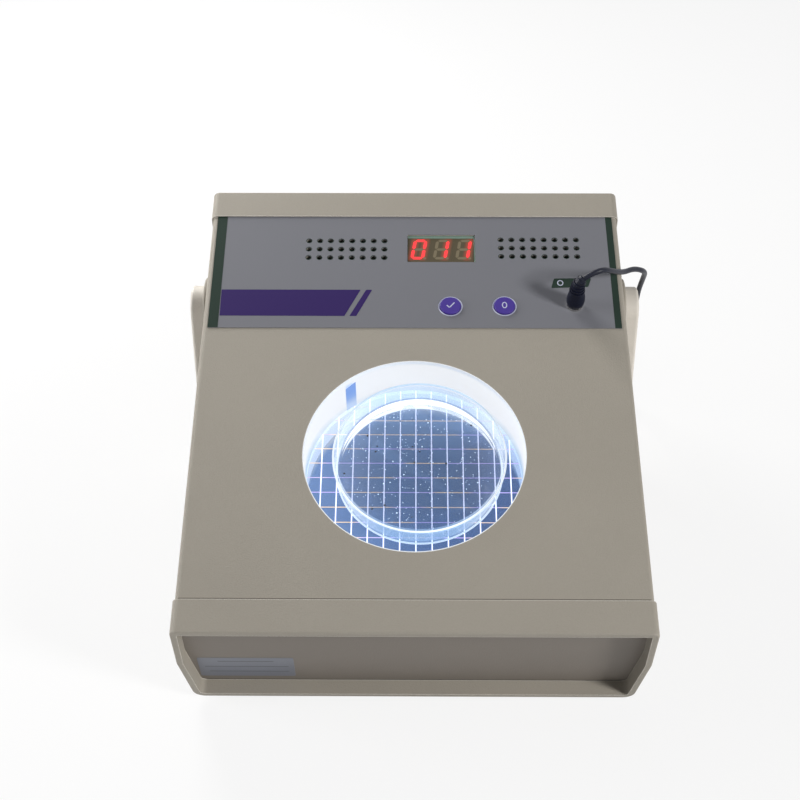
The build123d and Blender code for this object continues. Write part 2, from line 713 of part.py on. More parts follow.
def plug_body():
    """Moulded plug: an oval body that narrows to the boot."""
    low = plug_base()
    high = low + PLUG_LENGTH
    levels = ((low, 0.9), (low + 0.3 * PLUG_LENGTH, 1.0), (low + 0.65 * PLUG_LENGTH, 0.97))
    sections = [Pos(JACK_X, JACK_Y, z) * Ellipse(PLUG_HALF_WIDTH * s, PLUG_HALF_DEPTH * s) for z, s in levels]
    sections.append(Pos(JACK_X, JACK_Y, high) * Circle(BOOT_BASE_R))
    return loft(sections)


def boot_length():
    """Length of the boot along its middle line."""
    return BOOT_STRAIGHT + BOOT_ARC_R * radians(BOOT_TURN)


def boot_frame(along):
    """Plane across the boot at a distance along its middle line, which ends in a bend."""
    straight = min(along, BOOT_STRAIGHT)
    angle = (along - straight) / BOOT_ARC_R
    bend = Pos(BOOT_ARC_R * (1 - cos(angle)), 0, straight + BOOT_ARC_R * sin(angle)) * Rot(0, degrees(angle), 0)
    return Pos(JACK_X, JACK_Y, plug_base() + PLUG_LENGTH) * Rot(0, 0, BOOT_HEADING) * bend


def boot_radius(along):
    """Radius of the boot between its ribs."""
    return BOOT_BASE_R + (BOOT_TIP_R - BOOT_BASE_R) * along / boot_length()


def plug_boot():
    """Ribbed boot that bends over with the cord and narrows towards it."""
    steps = 8
    stations = [boot_length() * step / steps for step in range(steps + 1)]
    boot = loft([boot_frame(along) * Circle(boot_radius(along)) for along in stations])
    pitch = boot_length() / (BOOT_RIBS + 0.5)
    for number in range(BOOT_RIBS):
        along = pitch * (number + 0.7)
        boot += boot_frame(along) * Cylinder(boot_radius(along) + BOOT_RIB_R, BOOT_RIB_WIDTH)
    return boot


def main_board():
    """Supply and logic board on the bottom of the case, with its larger components."""
    x0, x1, y0, y1 = MAIN_BOARD
    low = BOTTOM_INSIDE + MAIN_BOARD_HEIGHT
    board = block(x0, x1, y0, y1, low, low + BOARD_THICKNESS)
    top = low + BOARD_THICKNESS
    board += block(x0 + 16, x0 + 34, y0 + 10, y0 + 18, top, top + 4)
    board += block(x0 + 50, x0 + 58, y0 + 12, y0 + 48, top, top + 3.5)
    for x in (x0 + 24, x0 + 40):
        board += post(x, y1 - 20, 6.5, top, top + 16)
    for x, y in board_pillar_places():
        board -= post(x, y, BOARD_SCREW_R + 0.2, low - 1, top + 1)
    return board


def board_pillar_places():
    """Centres of the pillars under the main board."""
    x0, x1, y0, y1 = MAIN_BOARD
    return [(x, y) for x in (x0 + 6, x1 - 6) for y in (y0 + 6, y1 - 6)]


def board_pillars():
    """Pillars with a peg each, on which the main board is pressed."""
    low = BOTTOM_INSIDE
    high = low + MAIN_BOARD_HEIGHT
    pegs = []
    for x, y in board_pillar_places():
        pegs.append(post(x, y, STANDOFF_R, low, high) + post(x, y, BOARD_SCREW_R, high, high + BOARD_THICKNESS + 1))
    return joined(pegs)


def transformer():
    """Mains transformer: a laminated core round one winding."""
    x, y = CORE_CENTRE
    low = BOTTOM_INSIDE + BRACKET_THICKNESS
    core_x, core_y, core_z = CORE_SIZE
    body = block(x - core_x / 2, x + core_x / 2, y - core_y / 2, y + core_y / 2, low, low + core_z)
    wind_x, wind_y, wind_z = WINDING_SIZE
    middle = low + core_z / 2
    winding = block(x - wind_x / 2, x + wind_x / 2, y - wind_y / 2, y + wind_y / 2,
                    middle - wind_z / 2, middle + wind_z / 2)
    winding = fillet(winding.edges().filter_by(Axis.Y), 4)
    return body + winding


def transformer_bracket():
    """Sheet foot under the core with an ear at each side, screwed to the case."""
    x, y = CORE_CENTRE
    core_x, core_y, core_z = CORE_SIZE
    low = BOTTOM_INSIDE
    half_y = core_y / 2
    side = core_x / 2
    body = block(x - side - BRACKET_EAR, x + side + BRACKET_EAR, y - half_y, y + half_y,
                 low, low + BRACKET_THICKNESS)
    for sign in (-1, 1):
        wall = sorted((x + sign * side, x + sign * (side + BRACKET_THICKNESS)))
        body += block(*wall, y - half_y, y + half_y, low, low + core_z * 0.8)
        screw_x = x + sign * (side + BRACKET_EAR * 0.6)
        body -= post(screw_x, y, 1.6, low - 1, low + BRACKET_THICKNESS + 1)
    return body


def panel_face():
    """Outside face of the rear panel."""
    return CASE_LENGTH - PANEL_RECESS


def upright_plate(centre_x, size, y0, y1, corner=1.2):
    """Rounded rectangular block set in the rear panel, from y0 to y1."""
    sketch = RectangleRounded(size[0], size[1], corner)
    return in_cross_section(Pos(centre_x, FITTING_Z) * sketch, y0, y1)


def inlet_outline(width, height):
    """Outline of the connector with its two cut lower corners."""
    cut = height * 0.28
    half_x, half_z = width / 2, height / 2
    return make_face(Polyline((-half_x, half_z), (half_x, half_z), (half_x, -half_z + cut), (half_x - cut, -half_z),
                              (-half_x + cut, -half_z), (-half_x, -half_z + cut), close=True))


def power_inlet():
    """Mains inlet: a flange on the panel and a body behind it with the open cavity for the connector."""
    face = panel_face()
    body = upright_plate(INLET_X, INLET_FLANGE, face, face + INLET_FLANGE_THICKNESS, 2.5)
    body += upright_plate(INLET_X, INLET_BODY, face - INLET_DEPTH, face)
    cavity = Pos(INLET_X, FITTING_Z) * inlet_outline(*INLET_CAVITY)
    end = face + INLET_FLANGE_THICKNESS
    body -= in_cross_section(cavity, end - INLET_CAVITY_DEPTH, end + 1)
    return body


def inlet_contacts():
    """Three flat contacts that stand in the cavity of the inlet."""
    bottom = panel_face() + INLET_FLANGE_THICKNESS - INLET_CAVITY_DEPTH
    pins = []
    for x, z in ((-CONTACT_SPREAD, -CONTACT_RISE), (CONTACT_SPREAD, -CONTACT_RISE), (0, CONTACT_RISE)):
        half_x, half_z = CONTACT_SIZE[0] / 2, CONTACT_SIZE[1] / 2
        pins.append(block(INLET_X + x - half_x, INLET_X + x + half_x, bottom, bottom + CONTACT_LENGTH,
                          FITTING_Z + z - half_z, FITTING_Z + z + half_z))
    return joined(pins)


def fuse_holder():
    """Round body of the fuse holder behind the panel, with its collar in the panel."""
    face = panel_face()
    body = spindle(FUSE_X, face - FUSE_LENGTH, face + 2.0, FITTING_Z, FUSE_R)
    body += spindle(FUSE_X, face, face + 2.0, FITTING_Z, FUSE_CAP_R + 0.6)
    return body - spindle(FUSE_X, face - 10.0, face + 3.0, FITTING_Z, FUSE_R - 1.5)


def fuse_cap():
    """Screw cap of the fuse holder with its slot."""
    face = panel_face() + 2.0
    cap = spindle(FUSE_X, face, face + 4.0, FITTING_Z, FUSE_CAP_R - 1.0)
    cap += spindle(FUSE_X, face - 9.0, face, FITTING_Z, FUSE_R - 1.6)
    return cap - block(FUSE_X - 5, FUSE_X + 5, face + 2.8, face + 5, FITTING_Z - 0.7, FITTING_Z + 0.7)


def rocker_pivot_y():
    """Place of the rocker's pivot behind the face of its housing."""
    return panel_face() + ROCKER_FLANGE_THICKNESS - ROCKER_PIVOT_DEPTH


def rocker_housing():
    """Housing of the mains switch with the opening that the rocker tips in."""
    face = panel_face()
    end = face + ROCKER_FLANGE_THICKNESS
    body = upright_plate(ROCKER_X, ROCKER_FLANGE, face, end)
    body += upright_plate(ROCKER_X, ROCKER_BODY, face - ROCKER_BODY_DEPTH, face, 0.8)
    cavity = Pos(ROCKER_X, FITTING_Z) * Rectangle(*ROCKER_CAVITY)
    body -= in_cross_section(cavity, end - ROCKER_CAVITY_DEPTH, end + 1)
    pin = ROCKER_PIN_R + ROCKER_PIN_CLEARANCE
    reach = ROCKER_CAVITY[0] / 2 + 0.5
    return body - axle(ROCKER_X - reach, ROCKER_X + reach, rocker_pivot_y(), FITTING_Z, pin)


def power_rocker():
    """Rocker with a shallow valley across its face and two short pivot pins, tipped to one end."""
    half_x, half_z = ROCKER_SIZE[0] / 2, ROCKER_SIZE[1] / 2
    face = ROCKER_PIVOT_DEPTH
    outline = make_face(Polyline((-half_z, face - 1.6), (-half_z, face + 2.6), (0, face + 1.1), (half_z, face + 2.6),
                                 (half_z, face - 1.6), (3.2, -2.2), (-3.2, -2.2), close=True))
    across = Plane(origin=(-half_x, 0, 0), x_dir=(0, 0, 1), z_dir=(-1, 0, 0))
    body = extrude(across * outline, amount=2 * half_x, dir=(1, 0, 0))
    body += axle(-half_x - 0.5, half_x + 0.5, 0, 0, ROCKER_PIN_R)
    return Pos(ROCKER_X, rocker_pivot_y(), FITTING_Z) * Rot(-ROCKER_REST_TILT, 0, 0) * body


def rear_panel():
    """Rear panel with the cut-outs of inlet, fuse holder and switch."""
    panel = at_rear(end_panel())
    face = panel_face()
    for centre_x, size, corner in ((INLET_X, INLET_BODY, 1.2), (ROCKER_X, ROCKER_BODY, 0.8)):
        grown = (size[0] + 2 * FITTING_CLEARANCE, size[1] + 2 * FITTING_CLEARANCE)
        panel -= upright_plate(centre_x, grown, face - 5, face + 1, corner)
    return panel - spindle(FUSE_X, face - 5, face + 1, FITTING_Z, FUSE_R + FITTING_CLEARANCE)


def arm_direction():
    """Direction of the arms in the case frame, across y and z, when the handle is the stand."""
    lean = radians(ARM_LEAN)
    return (-sin(lean), -cos(lean))


def grip_centre():
    """Middle of the grip across y and z."""
    dy, dz = arm_direction()
    return (PIVOT_Y + ARM_LENGTH * dy, PIVOT_Z + ARM_LENGTH * dz)


def along_handle(piece):
    """Piece drawn with the pivot at the origin and the arm pointing down, turned to the arm's lean."""
    return Pos(0, PIVOT_Y, PIVOT_Z) * Rot(-ARM_LEAN, 0, 0) * piece


def pivot_hole(side):
    """Hole for the pivot bolt through one side of the upper cover."""
    return axle(*sorted((side * 100.0, side * 120.0)), PIVOT_Y, PIVOT_Z, PIVOT_R + PANEL_CLEARANCE)


def pivot_boss(side):
    """Round boss on the side of the case that the arm turns on, fitted to the kinked wall."""
    outer = ARM_INNER_X - BOSS_GAP
    disc = axle(*sorted((side * (outer - BOSS_SEAT_DEPTH - 3), side * outer)), PIVOT_Y, PIVOT_Z, BOSS_R)
    disc = fillet([e for e in disc.edges() if abs(e.center().X) > outer - 0.01], 0.8)
    disc -= in_cross_section(case_outline(COVER_STEP), FRONT_BEZEL_DEPTH, COVER_REAR_Y)
    return disc - axle(-ROOM, ROOM, PIVOT_Y, PIVOT_Z, PIVOT_R + PANEL_CLEARANCE)


def head_seat():
    """Distance from the middle of the case at which the heads of the pivot bolts seat."""
    return ARM_OUTER_X - CAP_RECESS


def pivot_bolts():
    """Shoulder bolts on which the arms turn."""
    bolts = []
    for side in (-1, 1):
        shaft = axle(*sorted((side * 100.0, side * (head_seat() + 0.1))), PIVOT_Y, PIVOT_Z, PIVOT_R)
        inner, outer = head_seat() + 0.1, head_seat() + 0.1 + PIVOT_HEAD_THICKNESS
        bolts.append(shaft + axle(*sorted((side * inner, side * outer)), PIVOT_Y, PIVOT_Z, PIVOT_HEAD_R))
    return joined(bolts)


def pivot_nuts():
    """Washer and hexagon nut on each pivot bolt inside the case."""
    nuts = []
    wall = KINK_HALF_WIDTH - COVER_STEP - COVER_WALL - 1.2
    for side in (-1, 1):
        hexagon = RegularPolygon(NUT_ACROSS_FLATS / 2, 6, major_radius=False)
        inner = wall - WASHER_THICKNESS - NUT_THICKNESS
        start = side * (wall - WASHER_THICKNESS)
        body = extrude(Plane(origin=(start, PIVOT_Y, PIVOT_Z), x_dir=(0, 1, 0), z_dir=(-side, 0, 0)) * hexagon,
                       amount=NUT_THICKNESS)
        body += axle(*sorted((side * (wall - WASHER_THICKNESS), side * wall)), PIVOT_Y, PIVOT_Z, WASHER_R)
        nuts.append(body - axle(*sorted((side * (inner - 1), side * (wall + 1))), PIVOT_Y, PIVOT_Z, PIVOT_R))
    return joined(nuts)


def handle_arm(side):
    """Moulded arm: a rounded bar from the pivot to the grip with bore, bolt recess and grip socket."""
    length = ARM_LENGTH + ARM_WIDTH
    bar = extrude(Plane(origin=(ARM_INNER_X, 0, -ARM_LENGTH / 2), x_dir=(0, 0, 1), z_dir=(1, 0, 0))
                  * SlotOverall(length, ARM_WIDTH), amount=ARM_OUTER_X - ARM_INNER_X)
    bar = fillet([e for e in bar.edges() if e.center().X > ARM_OUTER_X - 0.01], ARM_EDGE_R)
    bar -= axle(ARM_INNER_X - 1, ARM_OUTER_X + 1, 0, 0, PIVOT_R + PIVOT_CLEARANCE)
    bar -= axle(head_seat(), ARM_OUTER_X + 1, 0, 0, CAP_R)
    socket = extrude(Plane(origin=(ARM_INNER_X - 1, 0, -ARM_LENGTH), x_dir=(0, 1, 0), z_dir=(1, 0, 0))
                     * SlotOverall(GRIP_CORE_WIDTH, GRIP_CORE_THICKNESS), amount=5.0)
    bar -= socket
    if side < 0:
        bar = mirror(bar, about=Plane.YZ)
    return along_handle(bar)


def hub_caps():
    """Flat caps that close the bolt recesses, flush with the arms."""
    inner, outer = ARM_OUTER_X - CAP_THICKNESS, ARM_OUTER_X
    return joined([axle(*sorted((side * inner, side * outer)), PIVOT_Y, PIVOT_Z, CAP_R) for side in (-1, 1)])


def grip_core():
    """Flat bar across the handle whose ends sit in the sockets of the arms."""
    reach = ARM_INNER_X + 4.0
    bar = extrude(Plane(origin=(-reach, 0, -ARM_LENGTH), x_dir=(0, 1, 0), z_dir=(1, 0, 0))
                  * SlotOverall(GRIP_CORE_WIDTH, GRIP_CORE_THICKNESS), amount=2 * reach)
    return along_handle(bar)


def grip_sleeve():
    """Soft sleeve on the core between the arms, with shallow grooves for the fingers."""
    reach = ARM_INNER_X - GRIP_END_GAP
    across = Plane(origin=(-reach, 0, -ARM_LENGTH), x_dir=(0, 1, 0), z_dir=(1, 0, 0))
    sleeve = extrude(across * SlotOverall(GRIP_WIDTH, GRIP_THICKNESS), amount=2 * reach)
    middle = (SLEEVE_GROOVES - 1) / 2
    for number in range(SLEEVE_GROOVES):
        x = (number - middle) * SLEEVE_GROOVE_PITCH
        start = Plane(origin=(x - 1.0, 0, -ARM_LENGTH), x_dir=(0, 1, 0), z_dir=(1, 0, 0))
        shallow = SlotOverall(GRIP_WIDTH - 2 * SLEEVE_GROOVE_DEPTH, GRIP_THICKNESS - 2 * SLEEVE_GROOVE_DEPTH)
        band = SlotOverall(GRIP_WIDTH + 2, GRIP_THICKNESS + 2) - shallow
        sleeve -= extrude(start * band, amount=2.0)
    sleeve -= extrude(across * SlotOverall(GRIP_CORE_WIDTH, GRIP_CORE_THICKNESS), amount=2 * reach)
    return along_handle(sleeve)


def foot_contact():
    """Centre of the rounded front edge of the front feet across y and z."""
    return (FOOT_INSET - FOOT_R + FOOT_EDGE_R, -FOOT_HEIGHT + FOOT_EDGE_R)


def stand_tilt():
    """Angle at which the case leans when the front feet and the round ends of the arms touch the table."""
    grip_y, grip_z = grip_centre()
    foot_y, foot_z = foot_contact()
    reach_y, reach_z = grip_y - foot_y, grip_z - foot_z
    return asin((ARM_WIDTH / 2 - FOOT_EDGE_R) / hypot(reach_y, reach_z)) - atan2(reach_z, reach_y)


def stand_placement():
    """Turn and shift from the case frame to the final frame: on the table, centred over its box."""
    tilt = stand_tilt()
    foot_y, foot_z = foot_contact()
    lowest = foot_y * sin(tilt) + foot_z * cos(tilt) - FOOT_EDGE_R
    turned = Rot(degrees(tilt), 0, 0)
    ends = joined([turned * bezel(FRONT_BEZEL_DEPTH), turned * at_rear(bezel(REAR_BEZEL_DEPTH))])
    box = ends.bounding_box()
    return Pos(0, -(box.min.Y + box.max.Y) / 2, -lowest) * turned


def instrument():
    """Every piece of the instrument in the case frame, by name."""
    pieces = {
        "front_bezel": bezel(FRONT_BEZEL_DEPTH),
        "rear_bezel": at_rear(bezel(REAR_BEZEL_DEPTH)),
        "top_cover": top_cover(),
        "bottom_cover": bottom_cover(),
        "front_panel": end_panel(),
        "rear_panel": rear_panel(),
        "panel_overlay": panel_overlay(),
        "case_screws": case_screws(),
        "front_feet": joined([foot(x, y) for x, y in foot_places(True)]),
        "rear_feet": joined([foot(x, y) for x, y in foot_places(False)]),
        "foot_screws": foot_screws(),
        "light_drum": drum(),
        "chamber_floor": chamber_floor(),
        "grid_plate": grid_plate(),
        "diffuser_ring": diffuser_ring(),
        "lamp_strip": lamp_strip(),
        "petri_dish": petri_dish(),
        "agar_disc": agar_disc(),
        "display_board": display_board(),
        "board_standoffs": board_standoffs(),
        "board_screws": board_screws(),
        "button_switches": button_switches(),
        "buzzer": buzzer(),
        "jack_socket": jack_socket(),
        "jack_nut": jack_nut(),
        "plug_pin": plug_pin(),
        "probe_plug": plug_body(),
        "plug_boot": plug_boot(),
        "main_board": main_board(),
        "board_pillars": board_pillars(),
        "transformer": transformer(),
        "transformer_bracket": transformer_bracket(),
        "power_inlet": power_inlet(),
        "inlet_contacts": inlet_contacts(),
        "fuse_holder": fuse_holder(),
        "fuse_cap": fuse_cap(),
        "rocker_housing": rocker_housing(),
        "power_rocker": power_rocker(),
        "pivot_boss_left": pivot_boss(-1),
        "pivot_boss_right": pivot_boss(1),
        "pivot_bolts": pivot_bolts(),
        "pivot_nuts": pivot_nuts(),
        "handle_left_arm": handle_arm(-1),
        "handle_right_arm": handle_arm(1),
        "hub_caps": hub_caps(),
        "grip_core": grip_core(),
        "grip_sleeve": grip_sleeve(),
    }
    pieces.update(display())
    for name, centre in BUTTON_CENTRES.items():
        pieces[name] = button(centre)
    return pieces


def cord_line(points):
    """Line of the cord through its points, with each corner rounded as wide as its shorter run allows."""
    points = [Vector(*point) for point in points]
    radii = []
    for before, corner, after in zip(points, points[1:], points[2:]):
        arriving, leaving = corner - before, after - corner
        turn = radians(arriving.get_angle(leaving))
        radii.append(0.45 * min(arriving.length, leaving.length) / tan(turn / 2))
    return FilletPolyline(*points, radius=radii)


def tube(points):
    """Cord of round section along its points."""
    line = cord_line(points)
    return sweep(Plane(line @ 0, z_dir=line % 0) * Circle(CORD_R), path=line)


def lead_points(place):
    """Points of the cord from the end of the boot to the coil; the first run goes straight out."""
    end = place * boot_frame(boot_length())
    ahead = end * Pos(0, 0, CORD_START)
    return [tuple(end.position), tuple(ahead.position), *LEAD_ROUTE]


def tail_points():
    """Points of the cord from the coil to the boot of the pen."""
    return [*TAIL_ROUTE, (PEN_REAR_X + PEN_BOOT_LENGTH, PEN_Y, PEN_R)]


def coil_centre():
    """Centre of the coil: the cord meets its outermost turn where both run to the left."""
    x, y, z = LEAD_ROUTE[-1]
    return (x, y + COIL_MIDDLE_R + (COIL_ROWS - 1) * CORD_R)


def coil_section(spare=0.0):
    """Outer and inner radius and the two levels of the coil, made smaller by spare."""
    half = COIL_ROWS * CORD_R - spare
    return (COIL_MIDDLE_R + half, COIL_MIDDLE_R - half, spare, 2 * COIL_ROWS * CORD_R - spare)


def cord_coil():
    """Put-away length, wound into a ring: notched where the two ends lie, waisted under the tie."""
    x, y = coil_centre()
    outer, inner, low, high = coil_section()
    coil = ring(outer, inner, low, high, x, y)
    coil = fillet(coil.edges(), COIL_EDGE_R)
    side = y - outer + 2 * CORD_R + TIE_CLEARANCE
    coil -= block(x, x + ROOM, y - ROOM, side, low - 1, 2 * CORD_R + 2 * TIE_CLEARANCE)
    coil -= block(x - ROOM, x, y - ROOM, side, high - 2 * CORD_R - 3 * TIE_CLEARANCE, high + 1)
    half = TIE_WIDTH / 2 + TIE_CLEARANCE
    coil -= block(x - half, x + half, y, y + ROOM, low - 1, high + 1)
    return coil + tie_block(half + TIE_CLEARANCE, TIE_THICKNESS + TIE_CLEARANCE)


def tie_block(half_width, spare):
    """Block across the coil's turns at the tie, smaller than the coil by spare on each side."""
    x, y = coil_centre()
    outer, inner, low, high = coil_section(spare)
    return block(x - half_width, x + half_width, y + inner, y + outer, low, high)


def cord_tie():
    """Strap round the turns of the coil."""
    return tie_block(TIE_WIDTH / 2, 0.0) - tie_block(TIE_WIDTH, TIE_THICKNESS)


def pen_frame():
    """Frame of the pen: origin at the rear end of its barrel, z towards its tip."""
    return Pos(PEN_REAR_X, PEN_Y, PEN_R) * Rot(0, -90, 0)


def pen_end():
    """Distance from the rear end of the barrel to the end of the nose."""
    return PEN_BARREL_LENGTH + PEN_NOSE_LENGTH


def turned(*outline):
    """Body turned round the pen's axis from its outline of radius and distance."""
    return revolve(Plane.XZ * make_face(Polyline(*outline, close=True)), Axis.Z)


def pen_barrel():
    """Barrel with finger grooves and a nose that narrows to the bore of the tip."""
    end = pen_end()
    bore = TIP_R + TIP_CLEARANCE
    body = turned((0, 0), (PEN_R - 0.8, 0), (PEN_R, 1.2), (PEN_R, PEN_BARREL_LENGTH), (PEN_R - 0.6, end - 16),
                  (PEN_NOSE_R, end - 1.5), (PEN_NOSE_R, end), (bore, end), (bore, end - PEN_BORE_DEPTH),
                  (0, end - PEN_BORE_DEPTH))
    for number in range(PEN_GROOVES):
        low = PEN_BARREL_LENGTH - 4 - (number + 1) * PEN_GROOVE_PITCH
        body -= ring(PEN_R + 1, PEN_R - PEN_GROOVE_DEPTH, low, low + PEN_GROOVE_PITCH / 2, 0, 0)
    return pen_frame() * body


def pen_tip():
    """Sprung tip that closes the switch in the pen when it is pressed on a colony."""
    low = pen_end() - PEN_BORE_DEPTH + TIP_TRAVEL + 0.2
    high = pen_end() + TIP_PROUD
    return pen_frame() * turned((0, low), (TIP_R, low), (TIP_R, high - 2.0), (TIP_R * 0.6, high - 0.4), (0, high))


def pen_boot():
    """Tapered ribbed boot at the rear of the pen."""
    body = turned((0, 0), (PEN_BOOT_BASE_R, 0), (BOOT_TIP_R, -PEN_BOOT_LENGTH), (0, -PEN_BOOT_LENGTH))
    for number in range(BOOT_RIBS):
        level = -PEN_BOOT_LENGTH * (number + 0.8) / (BOOT_RIBS + 1)
        radius = PEN_BOOT_BASE_R + (BOOT_TIP_R - PEN_BOOT_BASE_R) * -level / PEN_BOOT_LENGTH
        body += Pos(0, 0, level) * Cylinder(radius + BOOT_RIB_R, BOOT_RIB_WIDTH)
    return pen_frame() * body


def cord_and_pen(place):
    """The pen and the pieces of its cord in the final frame, by name."""
    lead, tail = cord_line(lead_points(place)).length, cord_line(tail_points()).length
    turns = (CORD_LENGTH - lead - tail) / (2 * pi * COIL_MIDDLE_R)
    print("lead", lead, "tail", tail, "turns in the coil", turns)
    return {
        "probe_cord": tube(lead_points(place)),
        "cord_coil": cord_coil(),
        "cord_tie": cord_tie(),
        "cord_tail": tube(tail_points()),
        "pen_barrel": pen_barrel(),
        "pen_boot": pen_boot(),
        "pen_tip": pen_tip(),
    }


def main():
    os.makedirs("parts", exist_ok=True)
    place = stand_placement()
    print("tilt", degrees(stand_tilt()), "shift", place.position)
    pieces = {name: place * piece for name, piece in instrument().items()}
    pieces.update(cord_and_pen(place))
    for name, piece in pieces.items():
        export_step(piece, f"parts/{name}.step")


main()
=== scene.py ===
"""Looks of the colony counter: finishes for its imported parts, the prints on its panel, the grid under the
dish, the colonies on the agar, the cord of the counting pen, and a pale studio round them."""

import json
import math

import bmesh
import bpy
import numpy as np
from mathutils import Matrix, Vector


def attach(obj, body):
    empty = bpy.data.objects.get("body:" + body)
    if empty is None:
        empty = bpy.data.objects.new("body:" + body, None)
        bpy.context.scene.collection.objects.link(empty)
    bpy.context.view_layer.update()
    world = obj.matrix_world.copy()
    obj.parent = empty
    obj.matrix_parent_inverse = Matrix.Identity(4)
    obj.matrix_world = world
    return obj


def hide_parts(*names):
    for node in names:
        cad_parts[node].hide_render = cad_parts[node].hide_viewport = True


MM = 0.001
SEED = 11

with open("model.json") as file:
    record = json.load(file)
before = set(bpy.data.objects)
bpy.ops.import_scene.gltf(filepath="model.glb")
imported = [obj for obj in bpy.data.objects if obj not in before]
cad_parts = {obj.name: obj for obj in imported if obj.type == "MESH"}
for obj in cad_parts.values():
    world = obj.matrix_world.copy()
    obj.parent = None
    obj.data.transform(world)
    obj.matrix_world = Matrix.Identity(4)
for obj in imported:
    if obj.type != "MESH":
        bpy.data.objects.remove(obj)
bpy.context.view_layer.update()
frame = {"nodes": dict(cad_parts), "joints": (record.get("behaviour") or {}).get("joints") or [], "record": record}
nodes = frame["nodes"]
joints = {joint["name"]: joint for joint in frame["joints"]}

# The case leans on its handle. Sizes on the case are millimetres from its front face, middle and underside.
PRESS_AXIS = joints["calibrate_press"]["axis"]
CASE_TILT = math.atan2(PRESS_AXIS[1], -PRESS_AXIS[2])
PIVOT_Y, PIVOT_Z = 213.0, 48.0
PIVOT_PLACE = joints["handle_swing"]["pos_m"]
TOP_HALF_WIDTH, KINK_HALF_WIDTH, KINK_HEIGHT = 114.9, 115.9, 40.0
COVER_TOP, COVER_WALL, COVER_STEP, COVER_CORNER_R = 75.3, 2.0, 1.0, 2.5
# Painted shade of the joint behind the front bezel: where it starts and ends along the case, how deep under and
# how far proud of the cover
SEAM_FRONT, SEAM_REAR, SEAM_DEPTH, SEAM_PROUD = 17.55, 18.65, 0.15, 0.03

# Front panel: its face, the lip below it, painted shade in the gap along the lip, the rating label and its empty
# rows
PANEL_FACE_Y, BEZEL_LIP = 8.0, 3.3
GAP_REACH, GAP_HEIGHT, GAP_DEPTH = 106.0, 0.5, 0.06
LABEL_CORNERS = ((-108.0, 8.0), (-60.0, 8.0), (-60.0, 30.0), (-108.0, 30.0))
LABEL_R, LABEL_THICKNESS, LABEL_EDGE = 1.2, 0.15, 0.04
ROWS = ((-98.0, -70.0, 25.6), (-105.0, -63.0, 19.4), (-103.0, -63.0, 13.6))
ROW_HEIGHT, ROW_SINK, ROW_PROUD = 0.7, 0.01, 0.04

# Prints on the panel: corners across and back, two buttons, two groups of small holes
OVERLAY_TOP = 75.7
PRINT_HEIGHT, MARK_HEIGHT = 0.05, 0.03
BAND = ((-105.2, 203.9), (-29.4, 203.9), (-37.8, 186.0), (-105.1, 186.1))
STRIPE = ((-26.4, 203.9), (-23.1, 203.9), (-31.4, 186.0), (-35.1, 186.0))
JACK_LABEL = ((76.3, 212.0), (96.7, 212.3), (94.7, 206.2), (74.5, 205.4))
LEFT_STRIP = ((-111.0, 178.2), (-105.5, 178.2), (-105.5, 256.1), (-111.0, 256.1))
RIGHT_STRIP = ((107.4, 178.2), (111.0, 178.2), (111.0, 256.1), (107.4, 256.1))
BUTTONS = ((19.4, 192.6), (48.6, 192.8))
BUTTON_RING = (5.95, 6.6)
BUTTON_PROUD = 1.1
HOLE_GROUPS = ((-37.8, 232.5), (69.0, 233.5))
HOLE_COLUMNS, HOLE_ROWS, HOLE_PITCH = 8, 3, 6.0
HOLE_R, HOLE_RIM_R = 1.35, 1.67
GAUZE = ((-24, -8), (24, -8), (24, 8), (-24, 8))
GAUZE_THICKNESS, GAUZE_GAP = 0.3, 0.05
# Marks: the tick's corners from its key's middle, the half axes of the nought and of the socket sign
TICK = ((-2.0, 0.1), (-0.5, -1.6), (-0.62, -1.5), (2.2, 1.9))
NOUGHT, NOUGHT_STROKE = (1.45, 2.1), 0.55
SOCKET_SIGN, SOCKET_SIGN_AXES, SOCKET_SIGN_STROKE = (79.6, 208.9), (1.7, 1.9), 0.5
TICK_STROKE = 0.6

# Display: its middle, its half widths to the left and right and half depths to the front and rear, and the
# middles and reach of its lit strokes, which lean by the slant
DISPLAY_X, DISPLAY_Y, DIGIT_RECESS = 14.85, 233.25, 1.0
DISPLAY_LEFT, DISPLAY_RIGHT, DISPLAY_FRONT, DISPLAY_REAR = 18.6, 18.7, 9.5, 9.6
EDGE_REAR, EDGE_RIGHT, EDGE_LOW, EDGE_HIGH = 1.7, 0.6, 0.02, 0.12
STROKES = (-15.3, -9.6, 2.8, 15.2)
STROKE_REACH = 7.0
FIGURE_SLANT = math.radians(9.0)

# Light well and dish
WELL_X, WELL_Y = 0.0, 100.0
WINDOW_R = 56.3
PLATE_TOP = 48.3
DISH_X, DISH_Y = 2.65, 105.6
DISH_RIM_R, DISH_BASE_R, DISH_FOOT, DISH_TOP = 45.0, 43.7, 48.4, 63.4
AGAR_R = 42.2
AGAR_TOP = 53.7
AGAR_DENSITY = 0.22
# How far to the front the painted reflection of the lit wall is moved on the plate and on the agar
PLATE_REFLECTION_SHIFT, AGAR_REFLECTION_SHIFT = 12.8, 4.6
GRID_X0, GRID_PITCH_X, GRID_WIDTH = -48.58, 8.24, 0.62
GRID_Y0, GRID_PITCH_Y, CROSS_WIDTH = 65.84, 8.84, 0.46
GRID_HEIGHT, CROSS_HEIGHT = 0.04, 0.036
GRID_MARGIN, LAST_LINE = 0.3, 2.0
# Painted shade at the wall's joint: its angle in degrees, its width, its top with its slant, and its thickness
JOINT_ANGLE, JOINT_WIDTH, JOINT_TOP, JOINT_SLANT, JOINT_THICKNESS = 126.8, 6.4, 69.0, 0.8, 0.2
